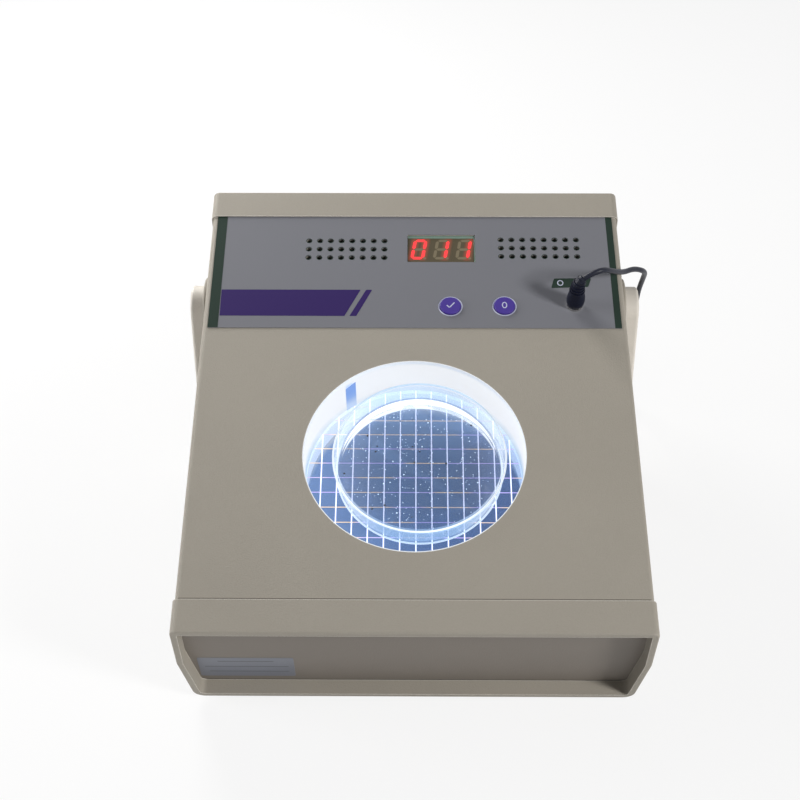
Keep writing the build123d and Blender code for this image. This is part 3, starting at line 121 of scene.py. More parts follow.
# Painted highlight rings: how far in and out from the circle of the window, the dish's rim and its foot, and their
# heights
WINDOW_EDGE = (WINDOW_R - 0.05, WINDOW_R + 0.36, COVER_TOP - COVER_WALL - 0.3, COVER_TOP + 0.02)
RIM_EDGE = (DISH_RIM_R - 0.9, DISH_RIM_R + 0.02, DISH_TOP - 0.35, DISH_TOP + 0.04)
FOOT_EDGE = (DISH_BASE_R - 0.9, DISH_BASE_R + 0.03, DISH_FOOT + 0.02, DISH_FOOT + 0.3)
RING_STEPS = 128
# Colonies: how far from the agar's edge the last lie, and how high a dome is against its radius
COLONY_MARGIN, DOME_RISE = 2.5, 0.45

# Cord: its points in the row frame in metres, the coil that keeps the rest of it, and the run to the pen
CORD_R = 1.5 * MM
LEAD = [(0.08923, 0.03822, 0.15107), (0.09330, 0.03893, 0.15389), (0.1000, 0.0414, 0.1550),
        (0.1070, 0.0496, 0.1480), (0.1138, 0.0598, 0.1404), (0.1205, 0.0680, 0.1372),
        (0.1266, 0.0734, 0.1324), (0.1298, 0.0815, 0.1250), (0.1306, 0.0905, 0.1146),
        (0.1304, 0.0978, 0.1020), (0.1306, 0.1026, 0.0875), (0.1303, 0.1060, 0.0720),
        (0.1306, 0.1084, 0.0565), (0.1304, 0.1104, 0.0410), (0.1308, 0.1128, 0.0265),
        (0.1306, 0.1166, 0.0135), (0.1298, 0.1222, 0.0042), (0.1235, 0.1267, 0.0016),
        (0.1120, 0.1275, 0.0015), (0.0960, 0.1275, 0.0015)]
TAIL = [(0.0960, 0.1275, 0.0075), (0.0850, 0.1275, 0.0075), (0.0745, 0.1284, 0.0036),
        (0.0630, 0.1297, 0.0015), (0.0520, 0.1303, 0.0024), (0.0445, 0.1300, 0.0055),
        (0.0360, 0.1300, 0.0055)]
COIL_TURNS = 8
POINTS_PER_TURN = 16
COIL_MIDDLE_R = 18.0 * MM
# Degrees of a turn at which the last turn moves to its next place, how much later each turn before it moves,
# and how long a move takes
MOVE_FIRST, MOVE_LATER, MOVE_SPAN = 24, 37, 34
# Places of the turns across the coil, in cord widths out from its middle and up from the table
COIL_PLACES = ((1, 0), (0, 0), (-1, 0), (-1, 1), (-1, 2), (0, 2), (0, 1), (1, 1), (1, 2))

# Camera that takes the photograph's view
CAMERA_PLACE = (-0.00226, -0.592684, 0.591564)
CAMERA_RIGHT = (0.99997175, 0.00714284, -0.00234109)
CAMERA_UP = (-0.00276311, 0.63894816, 0.76924484)
CAMERA_AHEAD = (-0.00699043, 0.76921663, -0.63894984)
CAMERA_LENS = 65.23

# Skin: the height of the grain in metres, and how far from an edge its painted highlight reaches
GRAIN_RISE = 0.00025
EDGE_REACH = 0.0007

# Room: half the floor's width, how much of it is plain white beside the counter's shadow, the room's light
FLOOR_REACH, FLOOR_WHITE, ROOM_LIGHT = 6.0, 0.82, 0.13


# Places and meshes

def placed(points):
    """Case millimetres to the row frame: turned about x by the case's tilt, the pivot on the handle's."""
    points = np.asarray(points, float)
    y, z = points[..., 1] - PIVOT_Y, points[..., 2] - PIVOT_Z
    turn, rise = math.cos(CASE_TILT), math.sin(CASE_TILT)
    turned = np.stack([points[..., 0], y * turn - z * rise, y * rise + z * turn], -1)
    return turned * MM + np.array([0.0, PIVOT_PLACE[1], PIVOT_PLACE[2]])


def grid_faces(patches, rows, columns, loop_rows, loop_columns):
    """Quads between neighbours of each patch's grid; a looped direction joins its last line to its first."""
    index = np.arange(patches * rows * columns).reshape(patches, rows, columns)
    r = np.arange(rows if loop_rows else rows - 1)
    c = np.arange(columns if loop_columns else columns - 1)
    r_next, c_next = (r + 1) % rows, (c + 1) % columns
    corners = [index[:, a][:, :, b] for a, b in ((r, c), (r, c_next), (r_next, c_next), (r_next, c))]
    return np.stack(corners, -1).reshape(-1, 4)


def piece(name, vertices, faces, finish, body, smooth=True):
    """Mesh object from points and faces: doubles merged, faces turned outwards, riding on its body."""
    mesh = bpy.data.meshes.new(name)
    mesh.from_pydata(np.asarray(vertices, float).reshape(-1, 3).tolist(), [], np.asarray(faces).tolist())
    shape = bmesh.new()
    shape.from_mesh(mesh)
    bmesh.ops.remove_doubles(shape, verts=shape.verts, dist=1e-7)
    bmesh.ops.dissolve_degenerate(shape, edges=shape.edges, dist=1e-8)
    bmesh.ops.recalc_face_normals(shape, faces=shape.faces)
    shape.to_mesh(mesh)
    shape.free()
    mesh.polygons.foreach_set("use_smooth", np.full(len(mesh.polygons), smooth))
    mesh.materials.append(finish)
    made = bpy.data.objects.new(name, mesh)
    bpy.context.scene.collection.objects.link(made)
    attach(made, body)
    return made


def surface(name, grid, finish, body, loop_rows=False, loop_columns=False, smooth=True):
    """Piece made of one grid of points, or of several of one size: (rows, columns, 3) or (patches, ...)."""
    grid = np.asarray(grid, float)
    patches = grid if grid.ndim == 4 else grid[None]
    faces = grid_faces(*patches.shape[:3], loop_rows, loop_columns)
    return piece(name, patches, faces, finish, body, smooth)


def plate(outline, low, high, edge=0.0):
    """Closed plate over an outline round its own middle: rows run from the middle of the underside out to
    the outline, up to the top less the edge's height, in by the edge, and back to the middle."""
    outline = np.asarray(outline, float)
    middle = outline.mean(0)
    inner = middle + (outline - middle) * (1 - edge / np.abs(outline - middle).max())
    centre = np.broadcast_to(middle, outline.shape)
    levels = ((centre, low), (outline, low), (outline, high - edge), (inner, high), (centre, high))
    return np.stack([np.column_stack([flat, np.full(len(flat), level)]) for flat, level in levels])


def corner_outline(corners, radius, steps=6):
    """Outline with rounded corners: each is a parabola between the points a radius before and after it."""
    corners = np.asarray(corners, float)
    back = np.roll(corners, 1, 0) - corners
    ahead = np.roll(corners, -1, 0) - corners
    start = corners + back / np.linalg.norm(back, axis=1, keepdims=True) * radius
    end = corners + ahead / np.linalg.norm(ahead, axis=1, keepdims=True) * radius
    t = np.linspace(0, 1, steps)[None, :, None]
    curve = (1 - t) ** 2 * start[:, None] + 2 * t * (1 - t) * corners[:, None] + t ** 2 * end[:, None]
    return curve.reshape(-1, 2)


def ring_band(x, y, inner, outer, low, high, count=96):
    """Closed flat ring: its square section, four points of radius and height, carried round a circle."""
    angle = np.linspace(0, 2 * np.pi, count, endpoint=False)
    section = np.array([(inner, low), (outer, low), (outer, high), (inner, high)])
    radius, level = section[:, :1], section[:, 1:]
    flat_x, flat_y = x + radius * np.cos(angle), y + radius * np.sin(angle)
    return np.stack([flat_x, flat_y, np.broadcast_to(level, (4, count))], -1)


def bars(low, high):
    """Boxes between arrays of low and high corners: corner k takes high where its bit is set."""
    bits = np.array([[(k >> axis) & 1 for axis in range(3)] for k in range(8)])
    vertices = np.where(bits[None] == 1, high[:, None], low[:, None])
    sides = np.array([(0, 2, 3, 1), (4, 5, 7, 6), (0, 1, 5, 4), (2, 6, 7, 3), (0, 4, 6, 2), (1, 3, 7, 5)])
    faces = sides[None] + 8 * np.arange(len(low))[:, None, None]
    return vertices, faces.reshape(-1, 4)


# Finishes

def srgb(red, green, blue):
    """Colour as seen on a screen, 0 to 255, to the linear values that a shader takes."""
    values = np.array([red, green, blue]) / 255.0
    linear = np.where(values <= 0.04045, values / 12.92, ((values + 0.055) / 1.055) ** 2.4)
    return (*linear.tolist(), 1.0)


def skin_group():
    """Moulded or painted skin: a fine rounded grain and a slow drift. The height is a fine noise, and colour
    and roughness are the given ones times 1 plus the drift times both noises round their middle."""
    group = bpy.data.node_groups.new("skin_grain", "ShaderNodeTree")
    for name, kind, value in (("Color", "NodeSocketColor", (0.5, 0.5, 0.5, 1)),
                              ("Grain Size", "NodeSocketFloat", 1100.0),
                              ("Drift", "NodeSocketFloat", 0.05),
                              ("Roughness", "NodeSocketFloat", 0.5)):
        socket = group.interface.new_socket(name, in_out="INPUT", socket_type=kind)
        socket.default_value = value
    for name, kind in (("Color", "NodeSocketColor"), ("Roughness", "NodeSocketFloat"),
                       ("Height", "NodeSocketFloat")):
        group.interface.new_socket(name, in_out="OUTPUT", socket_type=kind)
    nodes_, links = group.nodes, group.links
    given, out = nodes_.new("NodeGroupInput"), nodes_.new("NodeGroupOutput")
    place = nodes_.new("ShaderNodeTexCoord")
    grain = nodes_.new("ShaderNodeTexNoise")
    grain.inputs["Detail"].default_value = 1.5
    grain.inputs["Roughness"].default_value = 0.4
    links.new(place.outputs["Object"], grain.inputs["Vector"])
    links.new(given.outputs["Grain Size"], grain.inputs["Scale"])
    links.new(grain.outputs["Fac"], out.inputs["Height"])
    wide = nodes_.new("ShaderNodeTexNoise")
    wide.inputs["Scale"].default_value = 22.0
    wide.inputs["Detail"].default_value = 3.0
    links.new(place.outputs["Object"], wide.inputs["Vector"])
    both = nodes_.new("ShaderNodeMath")
    both.operation = "ADD"
    links.new(wide.outputs["Fac"], both.inputs[0])
    links.new(grain.outputs["Fac"], both.inputs[1])
    centred = nodes_.new("ShaderNodeMath")
    centred.operation = "SUBTRACT"
    centred.inputs[1].default_value = 1.0
    links.new(both.outputs[0], centred.inputs[0])
    drift = nodes_.new("ShaderNodeMath")
    drift.operation = "MULTIPLY_ADD"
    drift.inputs[2].default_value = 1.0
    links.new(centred.outputs[0], drift.inputs[0])
    links.new(given.outputs["Drift"], drift.inputs[1])
    tone = nodes_.new("ShaderNodeVectorMath")
    tone.operation = "SCALE"
    links.new(given.outputs["Color"], tone.inputs[0])
    links.new(drift.outputs[0], tone.inputs["Scale"])
    links.new(tone.outputs[0], out.inputs["Color"])
    gloss = nodes_.new("ShaderNodeMath")
    gloss.operation = "MULTIPLY"
    links.new(given.outputs["Roughness"], gloss.inputs[0])
    links.new(drift.outputs[0], gloss.inputs[1])
    links.new(gloss.outputs[0], out.inputs["Roughness"])
    return group


SKIN = skin_group()


def painted_edge_highlight(tree):
    """Mask of the outer edges, for a painted highlight: how far the normal turns within a short reach."""
    rounded = tree.nodes.new("ShaderNodeBevel")
    rounded.samples = 4
    rounded.inputs["Radius"].default_value = EDGE_REACH
    plain = tree.nodes.new("ShaderNodeNewGeometry")
    alike = tree.nodes.new("ShaderNodeVectorMath")
    alike.operation = "DOT_PRODUCT"
    tree.links.new(rounded.outputs["Normal"], alike.inputs[0])
    tree.links.new(plain.outputs["Normal"], alike.inputs[1])
    mask = tree.nodes.new("ShaderNodeMapRange")
    mask.inputs["From Min"].default_value = 0.99
    mask.inputs["From Max"].default_value = 0.86
    tree.links.new(alike.outputs["Value"], mask.inputs["Value"])
    return mask.outputs["Result"]


def skin(name, color, roughness=0.5, grain=1100.0, depth=0.5, drift=0.05, metallic=0.0, coat=0.0, shine=0.5,
         edge=None):
    """Finish with the moulded skin's grain on a principled surface; its edges may take a painted highlight of
    their own tone.
    """
    finish = bpy.data.materials.new(name)
    finish.use_nodes = True
    tree = finish.node_tree
    surface_ = tree.nodes["Principled BSDF"]
    grain_ = tree.nodes.new("ShaderNodeGroup")
    grain_.node_tree = SKIN
    grain_.inputs["Color"].default_value = color
    grain_.inputs["Grain Size"].default_value = grain
    grain_.inputs["Drift"].default_value = drift
    grain_.inputs["Roughness"].default_value = roughness
    # Painted highlight: the edge colour is mixed in where the outer edges catch light
    if edge:
        edge_highlight_mix = tree.nodes.new("ShaderNodeMix")
        edge_highlight_mix.data_type = "RGBA"
        tree.links.new(painted_edge_highlight(tree), edge_highlight_mix.inputs["Factor"])
        tree.links.new(grain_.outputs["Color"], edge_highlight_mix.inputs["A"])
        edge_highlight_mix.inputs["B"].default_value = edge
        tree.links.new(edge_highlight_mix.outputs["Result"], surface_.inputs["Base Color"])
    else:
        tree.links.new(grain_.outputs["Color"], surface_.inputs["Base Color"])
    tree.links.new(grain_.outputs["Roughness"], surface_.inputs["Roughness"])
    if depth:
        bump = tree.nodes.new("ShaderNodeBump")
        bump.inputs["Strength"].default_value = depth
        bump.inputs["Distance"].default_value = GRAIN_RISE
        tree.links.new(grain_.outputs["Height"], bump.inputs["Height"])
        tree.links.new(bump.outputs["Normal"], surface_.inputs["Normal"])
    surface_.inputs["Metallic"].default_value = metallic
    surface_.inputs["Coat Weight"].default_value = coat
    surface_.inputs["Specular IOR Level"].default_value = shine
    return finish


def glowing(name, color, glow, strength, roughness=0.4):
    """Lit plastic: its own colour and an even glow."""
    finish = skin(name, color, roughness, depth=0.0, drift=0.02)
    surface_ = finish.node_tree.nodes["Principled BSDF"]
    surface_.inputs["Emission Color"].default_value = glow
    surface_.inputs["Emission Strength"].default_value = strength
    return finish


def clear(name, color, face_on, edge_on, roughness=0.05, haze=0.0):
    """Clear plastic: nearly see-through where it is looked at squarely, and denser towards its edges."""
    finish = skin(name, color, roughness, depth=0.0, drift=0.02)
    tree = finish.node_tree
    surface_ = tree.nodes["Principled BSDF"]
    facing = tree.nodes.new("ShaderNodeLayerWeight")
    facing.inputs["Blend"].default_value = 0.35
    density = tree.nodes.new("ShaderNodeMapRange")
    density.inputs["To Min"].default_value = face_on
    density.inputs["To Max"].default_value = edge_on
    tree.links.new(facing.outputs["Facing"], density.inputs["Value"])
    tree.links.new(density.outputs["Result"], surface_.inputs["Alpha"])
    surface_.inputs["Emission Color"].default_value = color
    surface_.inputs["Emission Strength"].default_value = haze
    return finish


def case_place(tree, x, y, z):
    """Object coordinates as case millimetres from a place on the case: turned back by the tilt and moved."""
    turn, rise = math.cos(CASE_TILT), math.sin(CASE_TILT)
    pivot_y = (PIVOT_PLACE[1] * turn + PIVOT_PLACE[2] * rise) / MM
    pivot_z = (-PIVOT_PLACE[1] * rise + PIVOT_PLACE[2] * turn) / MM
    place = tree.nodes.new("ShaderNodeTexCoord")
    level = tree.nodes.new("ShaderNodeMapping")
    level.vector_type = "POINT"
    level.inputs["Scale"].default_value = (1 / MM, 1 / MM, 1 / MM)
    level.inputs["Rotation"].default_value = (-CASE_TILT, 0.0, 0.0)
    level.inputs["Location"].default_value = (-x, PIVOT_Y - y - pivot_y, PIVOT_Z - z - pivot_z)
    tree.links.new(place.outputs["Object"], level.inputs["Vector"])
    return level.outputs["Vector"]


def math_node(tree, operation, first, second=None, third=None):
    """One step of arithmetic on sockets or numbers."""
    step = tree.nodes.new("ShaderNodeMath")
    step.operation = operation
    for socket, value in zip(step.inputs, (first, second, third)):
        if isinstance(value, (int, float)):
            socket.default_value = value
        elif value is not None:
            tree.links.new(value, socket)
    return step.outputs[0]


def share(tree, value, start, end):
    """0 at the start value, 1 at the end value, smooth and held beyond them."""
    step = tree.nodes.new("ShaderNodeMapRange")
    step.interpolation_type = "SMOOTHSTEP"
    step.inputs["From Min"].default_value = start
    step.inputs["From Max"].default_value = end
    tree.links.new(value, step.inputs["Value"])
    return step.outputs["Result"]


def distance_out(tree, vector):
    """Distance from the origin across the case, its height left out."""
    flat = tree.nodes.new("ShaderNodeVectorMath")
    flat.operation = "MULTIPLY"
    flat.inputs[1].default_value = (1.0, 1.0, 0.0)
    tree.links.new(vector, flat.inputs[0])
    length = tree.nodes.new("ShaderNodeVectorMath")
    length.operation = "LENGTH"
    tree.links.new(flat.outputs[0], length.inputs[0])
    return length.outputs["Value"]


def parts_of(tree, vector):
    """The three coordinates of a vector."""
    split = tree.nodes.new("ShaderNodeSeparateXYZ")
    tree.links.new(vector, split.inputs["Vector"])
    return split.outputs["X"], split.outputs["Y"], split.outputs["Z"]


def cloud(tree, scale, detail=4.0):
    """Noise over the object, 0 to 1."""
    place = tree.nodes.new("ShaderNodeTexCoord")
    noise = tree.nodes.new("ShaderNodeTexNoise")
    noise.inputs["Scale"].default_value = scale
    noise.inputs["Detail"].default_value = detail
    tree.links.new(place.outputs["Object"], noise.inputs["Vector"])
    return noise.outputs["Fac"]


def ramp(tree, value, *stops):
    """Colour between stops of position and colour."""
    band = tree.nodes.new("ShaderNodeValToRGB")
    steps = band.color_ramp.elements
    while len(steps) < len(stops):
        steps.new(0.5)
    for step, (position, color) in zip(steps, stops):
        step.position, step.color = position, color
    tree.links.new(value, band.inputs["Fac"])
    return band.outputs["Color"]


def lit_wall():
    """Frosted wall in front of the lamps: white high up and at the rear, pale blue low down at the sides."""
    finish = glowing("frosted_lit_wall", srgb(96, 104, 112), (1, 1, 1, 1), 0.76)
    tree = finish.node_tree
    x, y, z = parts_of(tree, case_place(tree, WELL_X, WELL_Y, PLATE_TOP))
    rear = math_node(tree, "MULTIPLY", share(tree, y, 0.0, WINDOW_R * 0.8), 0.6)
    white = math_node(tree, "ADD", share(tree, z, -1.0, 17.0), rear)
    glow = ramp(tree, white, (0.0, srgb(176, 206, 236)), (0.3, srgb(208, 226, 240)),
                (0.85, srgb(252, 252, 252)))
    tree.links.new(glow, tree.nodes["Principled BSDF"].inputs["Emission Color"])
    return finish


def plate_sheet():
    """Clear plate whose glow is painted light: dark where it shows the floor below, pale outside a circle moved to
    the front, where a painted reflection of the lit wall stands, and bluer on its left than on its right."""
    finish = clear("clear_plate", srgb(100, 124, 160), 0.22, 0.6, 0.04)
    tree = finish.node_tree
    x, y, z = parts_of(tree, case_place(tree, WELL_X, WELL_Y, PLATE_TOP))
    moved = distance_out(tree, case_place(tree, WELL_X, WELL_Y - PLATE_REFLECTION_SHIFT, PLATE_TOP))
    painted_wall_reflection = math_node(tree, "MULTIPLY", share(tree, moved, WINDOW_R - 1.2, WINDOW_R + 0.8), 0.62)
    rear = math_node(tree, "MULTIPLY", share(tree, y, 10.0, 45.0), 0.3)
    side = math_node(tree, "MULTIPLY", share(tree, x, 62.0, -62.0), 0.24)
    front = math_node(tree, "MULTIPLY", share(tree, y, -40.0, -58.0), 0.3)
    level = math_node(tree, "ADD", math_node(tree, "ADD", painted_wall_reflection, rear), math_node(tree, "ADD", side, front))
    glow = ramp(tree, level, (0.0, srgb(78, 102, 146)), (0.24, srgb(130, 164, 214)),
                (0.5, srgb(160, 192, 232)), (1.0, srgb(226, 236, 242)))
    surface_ = tree.nodes["Principled BSDF"]
    tree.links.new(glow, surface_.inputs["Emission Color"])
    surface_.inputs["Emission Strength"].default_value = 1.0
    return finish


def wet_gel():
    """Agar: a see-through dark blue-grey gel, darker in its middle, with fine clouding, and a bright crescent at
    its rear as a painted reflection of the dish's wall, inside its edge and outside a circle moved to the front;
    its colours glow as painted light."""
    finish = skin("wet_agar", srgb(62, 72, 100), 0.12, grain=420.0, depth=0.10, drift=0.25, shine=0.25)
    tree = finish.node_tree
    surface_ = tree.nodes["Principled BSDF"]
    edge = distance_out(tree, case_place(tree, DISH_X, DISH_Y, AGAR_TOP))
    mottle = math_node(tree, "MULTIPLY", cloud(tree, 120.0, 6.0), 0.6)
    level = math_node(tree, "ADD", math_node(tree, "MULTIPLY", share(tree, edge, 6.0, 46.0), 0.6),
                      math_node(tree, "SUBTRACT", mottle, 0.16))
    tone = ramp(tree, level, (0.0, srgb(18, 20, 34)), (0.5, srgb(40, 52, 82)), (1.0, srgb(84, 112, 158)))
    moved = distance_out(tree, case_place(tree, DISH_X, DISH_Y - AGAR_REFLECTION_SHIFT, AGAR_TOP))
    painted_crescent = math_node(tree, "MULTIPLY", share(tree, moved, AGAR_R - 0.4, AGAR_R + 0.6),
                         share(tree, edge, AGAR_R - 0.7, AGAR_R - 1.1))
    bright = tree.nodes.new("ShaderNodeMix")
    bright.data_type = "RGBA"
    tree.links.new(painted_crescent, bright.inputs["Factor"])
    tree.links.new(tone, bright.inputs["A"])
    bright.inputs["B"].default_value = srgb(246, 250, 252)
    tree.links.new(bright.outputs["Result"], surface_.inputs["Base Color"])
    tree.links.new(bright.outputs["Result"], surface_.inputs["Emission Color"])
    # Painted light: the gel's colours and its painted reflection glow
    surface_.inputs["Emission Strength"].default_value = 0.7
    tree.links.new(math_node(tree, "MULTIPLY_ADD", painted_crescent, 0.62, AGAR_DENSITY), surface_.inputs["Alpha"])
    return finish


def dish_wall():
    """Clear dish whose glow is painted light: pale blue in front, and a whiter painted sheen at its sides, where
    the wall is looked at along its length.
    """
    finish = clear("dish_polystyrene", srgb(176, 200, 226), 0.04, 0.62, 0.05)
    tree = finish.node_tree
    x, y, z = parts_of(tree, case_place(tree, DISH_X, DISH_Y, DISH_FOOT))
    side = share(tree, math_node(tree, "ABSOLUTE", x), 10.0, 44.0)
    sheen_streak = math_node(tree, "MULTIPLY", cloud(tree, 300.0, 3.0), 0.25)
    glow = ramp(tree, math_node(tree, "ADD", side, sheen_streak), (0.0, srgb(140, 184, 232)),
                (0.3, srgb(168, 204, 238)), (1.0, srgb(240, 246, 250)))
    surface_ = tree.nodes["Principled BSDF"]
    tree.links.new(glow, surface_.inputs["Emission Color"])
    surface_.inputs["Emission Strength"].default_value = 0.6
    return finish


def fading(name, color, front, rear, strength):
    """Ring of painted highlight whose glow goes from one colour at the front to another at the rear of the dish.
    """
    finish = glowing(name, color, (1, 1, 1, 1), strength)
    tree = finish.node_tree
    x, y, z = parts_of(tree, case_place(tree, DISH_X, DISH_Y, DISH_FOOT))
    glow = ramp(tree, share(tree, y, 0.0, DISH_RIM_R), (0.0, front), (1.0, rear))
    tree.links.new(glow, tree.nodes["Principled BSDF"].inputs["Emission Color"])
    return finish


def joint_shade_strip():
    """Painted shade at the wall's joint, where the lamp strip's ends meet: a glowing strip, blue at its top and
    paler towards the plate.
    """
    finish = glowing("joint_shade_strip", srgb(70, 88, 120), (1, 1, 1, 1), 0.8)
    tree = finish.node_tree
    x, y, z = parts_of(tree, case_place(tree, WELL_X, WELL_Y, PLATE_TOP))
    glow = ramp(tree, share(tree, z, 2.0, 16.0), (0.0, srgb(196, 214, 236)), (0.6, srgb(134, 166, 220)),
                (1.0, srgb(112, 150, 218)))
    tree.links.new(glow, tree.nodes["Principled BSDF"].inputs["Emission Color"])
    return finish


def cross_ink():
    """Cross lines of the grid: warm and violet by turns along each line, in a glow that is painted light."""
    finish = glowing("glowing_cross_line", srgb(200, 190, 196), (1, 1, 1, 1), 0.72)
    tree = finish.node_tree
    place = tree.nodes.new("ShaderNodeMapping")
    place.inputs["Scale"].default_value = (0.035, 0.16, 0.0)
    tree.links.new(case_place(tree, 0.0, 0.0, 0.0), place.inputs["Vector"])
    noise = tree.nodes.new("ShaderNodeTexNoise")
    noise.inputs["Scale"].default_value = 1.0
    noise.inputs["Detail"].default_value = 0.0
    tree.links.new(place.outputs["Vector"], noise.inputs["Vector"])
    glow = ramp(tree, noise.outputs["Fac"], (0.45, srgb(170, 148, 255)), (0.53, srgb(252, 210, 134)))
    tree.links.new(glow, tree.nodes["Principled BSDF"].inputs["Emission Color"])
    return finish


def digit_filter():
    """Brown filter of the digits, with the red light of the lit strokes spreading into it."""
    finish = skin("digit_filter", srgb(82, 74, 56), 0.45, 1500.0, 0.05, 0.05, shine=0.2)
    tree = finish.node_tree
    surface_ = tree.nodes["Principled BSDF"]
    x, y, z = parts_of(tree, case_place(tree, DISPLAY_X, DISPLAY_Y, OVERLAY_TOP))
    across = math_node(tree, "SUBTRACT", x, math_node(tree, "MULTIPLY", y, math.tan(FIGURE_SLANT)))
    spread = None
    for stroke in STROKES:
        away = math_node(tree, "ABSOLUTE", math_node(tree, "SUBTRACT", across, stroke))
        near = share(tree, away, 3.2, 0.4)
        spread = near if spread is None else math_node(tree, "MAXIMUM", spread, near)
    inside = share(tree, math_node(tree, "ABSOLUTE", y), STROKE_REACH + 1.8, STROKE_REACH - 1.0)
    level = math_node(tree, "MULTIPLY", spread, inside)
    glow = ramp(tree, level, (0.0, (0, 0, 0, 1)), (1.0, srgb(225, 30, 30)))
    tree.links.new(glow, surface_.inputs["Emission Color"])
    surface_.inputs["Emission Strength"].default_value = 0.32
    return finish


FINISHES = {
    # The case and the handle take a lighter edge colour, a painted highlight along their outer edges
    "case_beige": skin("beige_case", srgb(158, 152, 141), 0.6, 1500.0, 0.6, 0.10, shine=0.3,
                       edge=srgb(224, 219, 210)),
    "handle_beige": skin("beige_handle", srgb(212, 206, 196), 0.5, 1500.0, 0.4, 0.06,
                         edge=srgb(232, 228, 220)),
    # Painted shade: the front panel is given a darker beige than the case for the shade in its recess
    "panel_grey": skin("shaded_panel", srgb(124, 117, 109), 0.6, 1500.0, 0.45, 0.08),
    "overlay_grey": skin("grey_film", srgb(120, 121, 127), 0.55, 2600.0, 0.12, 0.05, shine=0.12),
    "steel": skin("zinc_steel", srgb(170, 170, 172), 0.35, 1800.0, 0.2, 0.08, metallic=1.0),
    "plated": skin("nickel", srgb(205, 203, 198), 0.18, 1800.0, 0.05, 0.04, metallic=1.0),
    "foot_rubber": skin("black_rubber", srgb(46, 46, 47), 0.8, 1400.0, 0.5, 0.1),
    "grip_rubber": skin("soft_grip", srgb(190, 184, 170), 0.7, 1500.0, 0.5, 0.06),
    # Painted light: the white drum glows pale blue
    "well_white": glowing("white_drum_glow", srgb(225, 230, 240), srgb(200, 220, 250), 0.35),
    "well_dark": skin("dark_floor", srgb(76, 90, 122), 0.6, 700.0, 0.3, 0.2),
    "diffuser": lit_wall(),
    "clear_plate": plate_sheet(),
    "dish_clear": dish_wall(),
    "agar": wet_gel(),
    "board_green": skin("green_board", srgb(34, 92, 58), 0.4, 900.0, 0.2, 0.1, coat=0.3),
    "white_nylon": skin("white_nylon", srgb(214, 214, 208), 0.5),
    "black_plastic": skin("black_plastic", srgb(38, 38, 40), 0.45, 1300.0, 0.3, 0.08),
    "digit_face": digit_filter(),
    "digit_lit": glowing("lit_digit", srgb(200, 30, 30), srgb(255, 50, 56), 1.15),
    "digit_dark": skin("dark_digit", srgb(120, 110, 88), 0.5, 1500.0, 0.05, 0.04, shine=0.2),
    "button_purple": skin("purple_button", srgb(66, 48, 138), 0.45, 1500.0, 0.2, 0.05, shine=0.3),
    "core_steel": skin("varnished_core", srgb(64, 62, 60), 0.4, 900.0, 0.3, 0.12, metallic=0.4),
    "cord_black": skin("black_cord", srgb(12, 16, 33), 0.42, 1600.0, 0.25, 0.1, shine=0.25),
    "tie_black": skin("black_tie", srgb(24, 24, 26), 0.4),
    "pen_body": skin("pen_black", srgb(36, 36, 42), 0.35, 1600.0, 0.15, 0.06),
    "pen_point": skin("pen_felt", srgb(140, 140, 138), 0.9, 2200.0, 0.6, 0.1),
}
PRINT = {
    "purple": skin("purple_ink", srgb(52, 37, 92), 0.55, 2600.0, 0.1, 0.05, shine=0.08),
    "green": skin("green_ink", srgb(40, 54, 47), 0.55, 2600.0, 0.1, 0.05, shine=0.08),
    "pale": skin("pale_ink", srgb(190, 194, 214), 0.5, 2600.0, 0.1, 0.03),
    "label": skin("silver_label", srgb(114, 118, 128), 0.38, 2600.0, 0.1, 0.06),
    "filter_edge": skin("green_filter_edge", srgb(122, 148, 134), 0.3, 2600.0, 0.1, 0.06),
    "rule": skin("grey_rule", srgb(96, 98, 106), 0.6, 2600.0, 0.1, 0.06),
    # Painted shade in the gap between the front panel and its ledge
    "gap": skin("dark_gap_shade", srgb(54, 48, 44), 0.8, 2600.0, 0.1, 0.06),
    # Painted shade in the joint between the cover and the front bezel
    "seam": skin("dark_seam_shade", srgb(104, 98, 90), 0.8, 2600.0, 0.1, 0.06),
    # Painted highlights: glowing rings at the window's edge and the dish's rim and foot
    "edge_light": glowing("lit_window_edge", srgb(206, 210, 214), srgb(222, 226, 230), 0.4),
    # Painted shade at the lit wall's joint
    "joint": joint_shade_strip(),
    "rim": fading("lit_dish_rim", srgb(190, 202, 214), srgb(240, 246, 250), srgb(150, 184, 214), 0.6),
    "base": fading("lit_dish_base", srgb(180, 196, 214), srgb(226, 238, 250), srgb(252, 252, 252), 0.65),
    # Painted light: the grid lines glow
    "grid": glowing("glowing_grid_line", srgb(210, 214, 240), srgb(220, 226, 254), 1.25),
    "grid_cross": cross_ink(),
    # Pale colonies: their own whitish colour with a painted glow
    "colony_pale": glowing("pale_colony_glow", srgb(220, 235, 250), srgb(200, 225, 250), 0.45),
    "colony_dark": skin("dark_colony", srgb(6, 6, 12), 0.3, 2000.0, 0.1, 0.05),
}

for part in frame["record"]["subparts"]:
    shape = nodes[part["node"]]
    shape.data.materials.clear()
    shape.data.materials.append(FINISHES[part["material_slot"]])


# Cord of the pen

